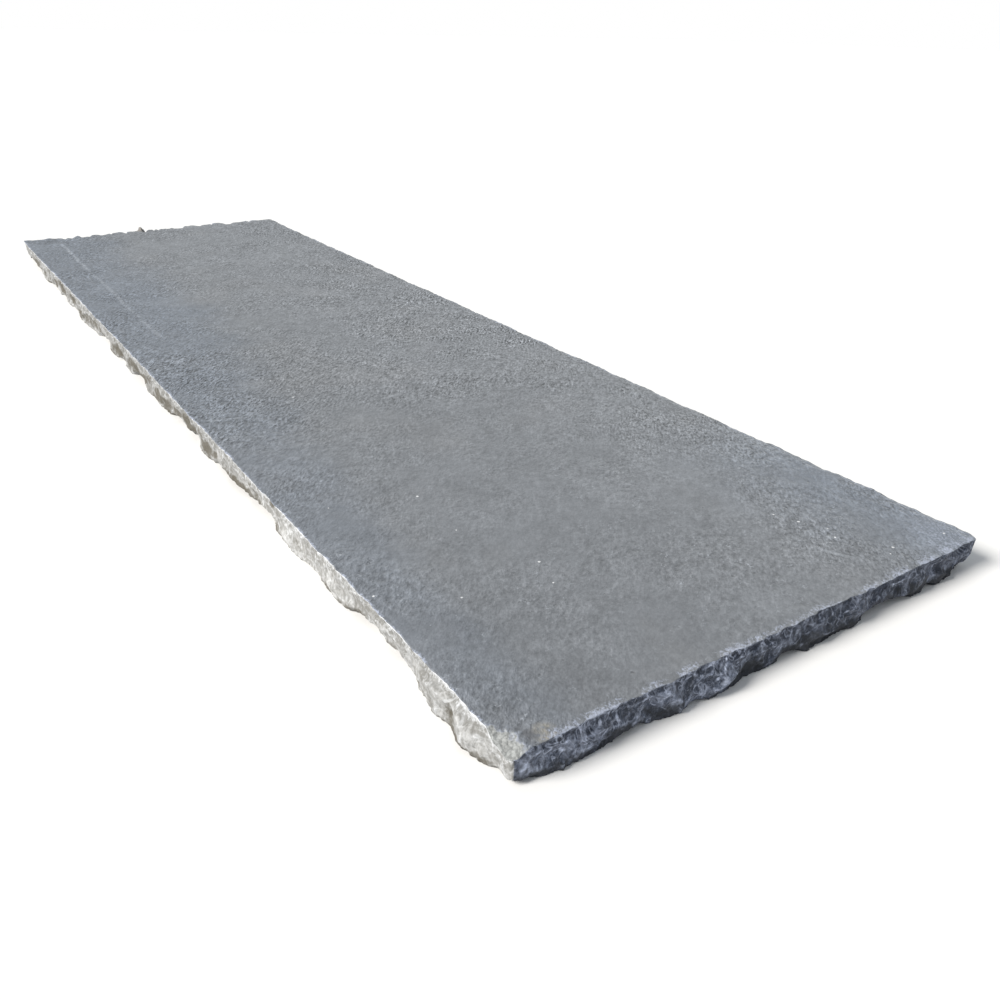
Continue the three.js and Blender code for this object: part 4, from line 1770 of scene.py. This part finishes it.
class DressedFinish(StoneFinish):
    """Finish of the dressed sides, in painted light: fresh dark stone with painted shade on the shaded sides,
    pale with painted sunlight on the front.
    """

    name = "dressed_limestone"
    # Lit and shaded copies of the stone's colours: painted shade for the sides turned away from the key
    # light, painted sunlight for the front.
    shade: SideTones = SideTones(
        (0.030, 0.037, 0.055, 1), (0.042, 0.052, 0.076, 1), (0.188, 0.215, 0.285, 1), (0.48, 0.53, 0.66, 1),
        # The last shaded tone is painted shade: the near-black foot, where the undercuts lie in shadow.
        (0.022, 0.024, 0.028, 1),
    )
    sun: SideTones = SideTones(
        (0.165, 0.163, 0.154, 1), (0.185, 0.182, 0.173, 1), (0.470, 0.474, 0.475, 1), (0.68, 0.70, 0.73, 1),
        (0.080, 0.070, 0.050, 1),
    )
    roughness: float = 0.78
    specular: float = 0.3

    def mix(self) -> None:
        """Wires the colour of the sides and their fine relief."""
        effects = self.effects
        # How far this place is painted sunlit rather than shaded; it sets the tones and the strength of most
        # marks.
        self.sunned = sunned = self.wear(Wear.SUNNED)
        self.cloud = self.sway(11.0, detail=3.0, roughness=0.6)
        self.fine = self.sway(5.0, detail=3.0, roughness=0.7)
        self.fresh = self._fresh_half()
        hollow, low, high, pale, foot = map(sunned.tint, astuple(self.shade), astuple(self.sun))
        grain = self.put(effects.grain, Size=2.9)["Tone"]
        relief = self.put(effects.relief, Size=4.0, Patch=25.0)["Height"]
        strokes = self.put(effects.strokes, Width=3.2, Length=15.0, Lean=0.5)["Tone"]
        broken = self.noise(15.0, detail=3.0, roughness=0.6).step(0.40, 0.60)
        ridge = self._ridges(broken)
        colour = self._mottling(strokes).tint(low, high).shade(self.fresh.between(1.0, 0.72))
        colour = colour.stain(self._hollows(), hollow).stain(self._crushed_lines(), pale)
        colour = colour.stain(ridge * sunned.between(0.85, 0.5), pale)
        colour = colour.stain(self._bruised_arris(), pale)
        # Painted highlight: a pale line along the arris of the sunlit front, broken up by noise.
        rim = self.wear(Wear.ARRIS).step(0.72, 0.95) * sunned
        colour = colour.stain(rim * broken.between(0.45, 0.9), pale)
        colour = colour.shade(1.0 + (grain - 0.5) * sunned.between(0.8, 0.24)).shade(self._dimmed())
        self.fill({
            "Base Color": colour.stain(self._soil_and_foot_shade(), foot),
            "Roughness": grain.between(self.roughness - 0.1, self.roughness + 0.08),
            "Specular IOR Level": self.specular,
        })
        height = relief * sunned.between(1.1, 0.42) + grain * sunned.between(0.16, 0.07)
        self.carve(height + strokes * sunned.between(0.25, 0.11) + ridge * 0.15)

    def _mottling(self, strokes: Wire) -> Wire:
        """Lighter and darker mottles of four sizes, with the chisel's streaks.

        Args:
            strokes: tone of the streaks.

        Returns:
            Share of the lighter tone of the plain face.
        """
        sunned = self.sunned
        mottle = self.cloud * 3.0 + self.fine * sunned.between(3.1, 1.1)
        mottle = mottle + self.sway(45.0) * sunned.between(1.2, 2.4)
        mottle = mottle + self.sway(1.5, roughness=0.6) * sunned.between(2.9, 0.4)
        return (mottle + strokes * sunned.between(0.5, 0.7)).step(-0.35, 1.05)

    def _hollows(self) -> Wire:
        """Dark stone in the hollows of the scars, darkened further by painted shade."""
        depth = self.wear(Wear.HOLLOW) + self.cloud * 2.6 + self.fresh * 0.4 + self.fine * 2.4
        return depth.step(0.2, 0.85) * self.sunned.between(0.95, 0.85)

    def _crushed_lines(self) -> Wire:
        """Pale swirls and hairs of crushed stone, and the arcs that the ripples leave.

        Returns:
            Their mask.
        """
        swirls = self.put(self.effects.swirls, Size=14.0)
        hairs = self.put(self.effects.swirls, Size=5.0)["Line"]
        arcs = self.wear(Wear.RIPPLE).step(0.2, 1.0) * self.cloud.step(-0.05, 0.15)
        lines = swirls["Line"] * 0.62 + arcs * 0.2 + swirls["Haze"] * 0.35
        lines = self.bench.sum(Op.ADD, lines, hairs * 0.16, clamp=True)
        return lines * self.sunned.between(1.0, 0.5) * self.fresh.between(1.0, 0.6)

    def _ridges(self, broken: Wire) -> Wire:
        """Pale ridges between the scars: bruised stone, with a painted highlight where they catch the light.

        Args:
            broken: how whole they are from place to place.

        Returns:
            Their mask.
        """
        crest = self.wear(Wear.RIDGE) - 0.2
        ridges = self.put(self.effects.bruising, Wear=crest, Size=4.0, Ragged=3.0)["Mask"]
        return ridges * broken.between(0.2, 1.0)

    def _bruised_arris(self) -> Wire:
        """Crushed stone below the arris.

        Returns:
            Its mask.
        """
        upper = self.wear(Wear.ARRIS) - self.sunned.between(0.52, 0.1) - self.fresh * 0.2
        arris = self.put(self.effects.bruising, Wear=upper, Size=2.6, Ragged=2.6)["Mask"]
        return arris * self.sunned.between(0.5, 0.72)

    def _dimmed(self) -> Wire:
        """The front is brightest a little way along from the near corner, and darker on its far half.

        Returns:
            What the colour is multiplied by.
        """
        x, _, _ = self.bench.axes(self.place)
        near = x.step(0.62, 0.46) * 0.12 + 1.03
        return self.sunned.between(1.0, x.step(0.42, 0.2).between(near, 0.95))

    def _fresh_half(self) -> Wire:
        """The half of the shaded near end towards the back, where the stone is freshly broken and darker."""
        _, y, _ = self.bench.axes(self.place)
        return y.step(-0.075, 0.02) * (1.0 - self.sunned)

    def _soil_and_foot_shade(self) -> Wire:
        """Soil on the foot and in the patches that the mesh tells of, and painted shade on the foot of the
        shaded near end, whose undercuts lie in shadow.

        Returns:
            Its mask.
        """
        foot, soil, near_end = self.wear(Wear.FOOT), self.wear(Wear.SOIL), 1.0 - self.sunned
        patch = self.sway(26.0, detail=4.0, roughness=0.62)
        ragged = patch * 1.6 + self.sway(7.0, detail=3.0, roughness=0.65) * 1.5
        # The painted shade on the near end's foot reaches higher than the soil on the front's foot.
        low = foot + patch * 3.5 - near_end.between(0.70, 0.30)
        risen = low.step(0.0, 0.6) * foot.step(0.0, 0.35)
        spilt = (soil + ragged).step(0.12, 0.62) * soil.step(0.0, 0.25)
        return risen.or_more(spilt) * near_end.between(0.82, 0.88)


class BedFinish(StoneFinish):
    """Finish of the bed, the flat underside."""

    name = "bed_limestone"
    stone: Colour = (0.17, 0.175, 0.185, 1)
    dust: Colour = (0.27, 0.265, 0.25, 1)
    roughness: float = 0.85

    def mix(self) -> None:
        """Wires the colour of the bed and its fine relief."""
        grain = self.put(self.effects.grain, Size=2.4)["Tone"]
        relief = self.put(self.effects.relief, Size=9.0, Patch=90.0)["Height"]
        pits = self.put(self.effects.pits, Spacing=30.0, Radius=3.0, Share=0.5)["Mask"]
        dusty = self.noise(80.0, detail=5.0, roughness=0.6).step(0.42, 0.62)
        colour = dusty.tint(self.stone, self.dust).shade(grain.between(0.86, 1.14))
        self.fill({
            "Base Color": colour.shade(pits.between(1.0, 0.65)),
            "Roughness": grain.between(self.roughness - 0.08, self.roughness + 0.08),
        })
        self.carve(relief + grain * 0.1 - pits * 0.5)


@dataclass(frozen=True)
class Studio:
    """The floor, the light and the camera."""

    floor_size: float = 60.0
    floor_drop: float = 0.0004
    backdrop: Colour = (1, 1, 1, 1)
    fill_colour: Colour = (0.90, 0.95, 1.0, 1)
    fill_strength: float = 0.42
    key_from: tuple[float, float, float] = (-0.13, -0.80, 0.62)
    key_colour: tuple[float, float, float] = (1.0, 0.965, 0.91)
    key_strength: float = 4.3
    key_softness: float = 24.0
    camera_at: tuple[float, float, float] = (1.0543, -0.4474, 0.3788)
    camera_right: tuple[float, float, float] = (0.5585, 0.8292, 0.0216)
    camera_back: tuple[float, float, float] = (0.7307, -0.5042, 0.4603)
    lens: float = 32.906
    sensor: float = 36.0
    nearest_seen: float = 0.01

    def build(self) -> None:
        """Sets up the floor, the world, the light and the camera."""
        self._lay_floor()
        self._light()
        self._set_camera()
        bpy.context.scene.view_settings.view_transform = "Standard"

    def _lay_floor(self) -> None:
        """Lays the plain pale floor."""
        bm = bmesh.new()
        bmesh.ops.create_grid(bm, x_segments=1, y_segments=1, size=self.floor_size / 2)
        bmesh.ops.translate(bm, vec=(0, 0, -self.floor_drop), verts=bm.verts)
        floor = new_object("studio_floor", bm)
        floor.data.materials.append(FloorPaint().material)
        floor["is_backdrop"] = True

    def _light(self) -> None:
        """Hangs the soft key light and the even fill round the scene."""
        world = bpy.data.worlds.new("studio_world")
        world.use_nodes = True
        world.node_tree.nodes.clear()
        bench = Bench(world.node_tree)
        seen = bench.put("ShaderNodeBackground", {"Color": self.backdrop})
        fill = bench.put("ShaderNodeBackground", {"Color": self.fill_colour, "Strength": self.fill_strength})
        camera_ray = bench.put("ShaderNodeLightPath")["Is Camera Ray"]
        choice = bench.put("ShaderNodeMixShader", {0: camera_ray, 1: fill[0], 2: seen[0]})
        bench.put("ShaderNodeOutputWorld", {"Surface": choice[0]})
        bpy.context.scene.world = world
        key = bpy.data.lights.new("key_light", "SUN")
        key.energy = self.key_strength
        key.angle = math.radians(self.key_softness)
        key.color = self.key_colour
        lamp = bpy.data.objects.new("key_light", key)
        lamp.rotation_euler = (-Vector(self.key_from)).to_track_quat("-Z", "Y").to_euler()
        bpy.context.scene.collection.objects.link(lamp)

    def _set_camera(self) -> None:
        """Sets the camera where the slab is seen over its near front corner."""
        data = bpy.data.cameras.new("camera")
        data.sensor_width = self.sensor
        data.lens = self.lens
        data.clip_start = self.nearest_seen
        camera = bpy.data.objects.new("camera", data)
        back = Vector(self.camera_back).normalized()
        right = Vector(self.camera_right)
        right = (right - back * right.dot(back)).normalized()
        turn = Matrix((right, back.cross(right), back)).transposed()
        camera.matrix_world = Matrix.Translation(self.camera_at) @ turn.to_4x4()
        bpy.context.scene.collection.objects.link(camera)
        bpy.context.scene.camera = camera


def dress(stone: bpy.types.Object, effects: StoneEffects) -> None:
    """Gives the stone its finishes and its place in the frame.

    Args:
        stone: the stone.
        effects: the shared node groups.
    """
    for finish in (RivenFinish, DressedFinish, BedFinish):
        stone.data.materials.append(finish(effects).material)
    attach(stone, "root")
    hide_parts(CAD_NODE)
    LOG.info("%s: %d vertices, %d faces", stone.name, len(stone.data.vertices), len(stone.data.polygons))


def write_sizes() -> None:
    """Logs the CAD box and the visual model's box."""
    boxes = {"cad": CAD_BOUNDS, "visual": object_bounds()}
    plain = {name: [list(corner) for corner in box] for name, box in boxes.items()}
    LOG.info("boxes: %s", plain)


def main() -> None:
    """Builds the studio and the stone."""
    logging.basicConfig(level=logging.INFO, format="%(name)s: %(message)s")
    Studio().build()
    dress(HearthSlab().build(), StoneEffects())
    write_sizes()


if __name__ == "__main__":
    main()
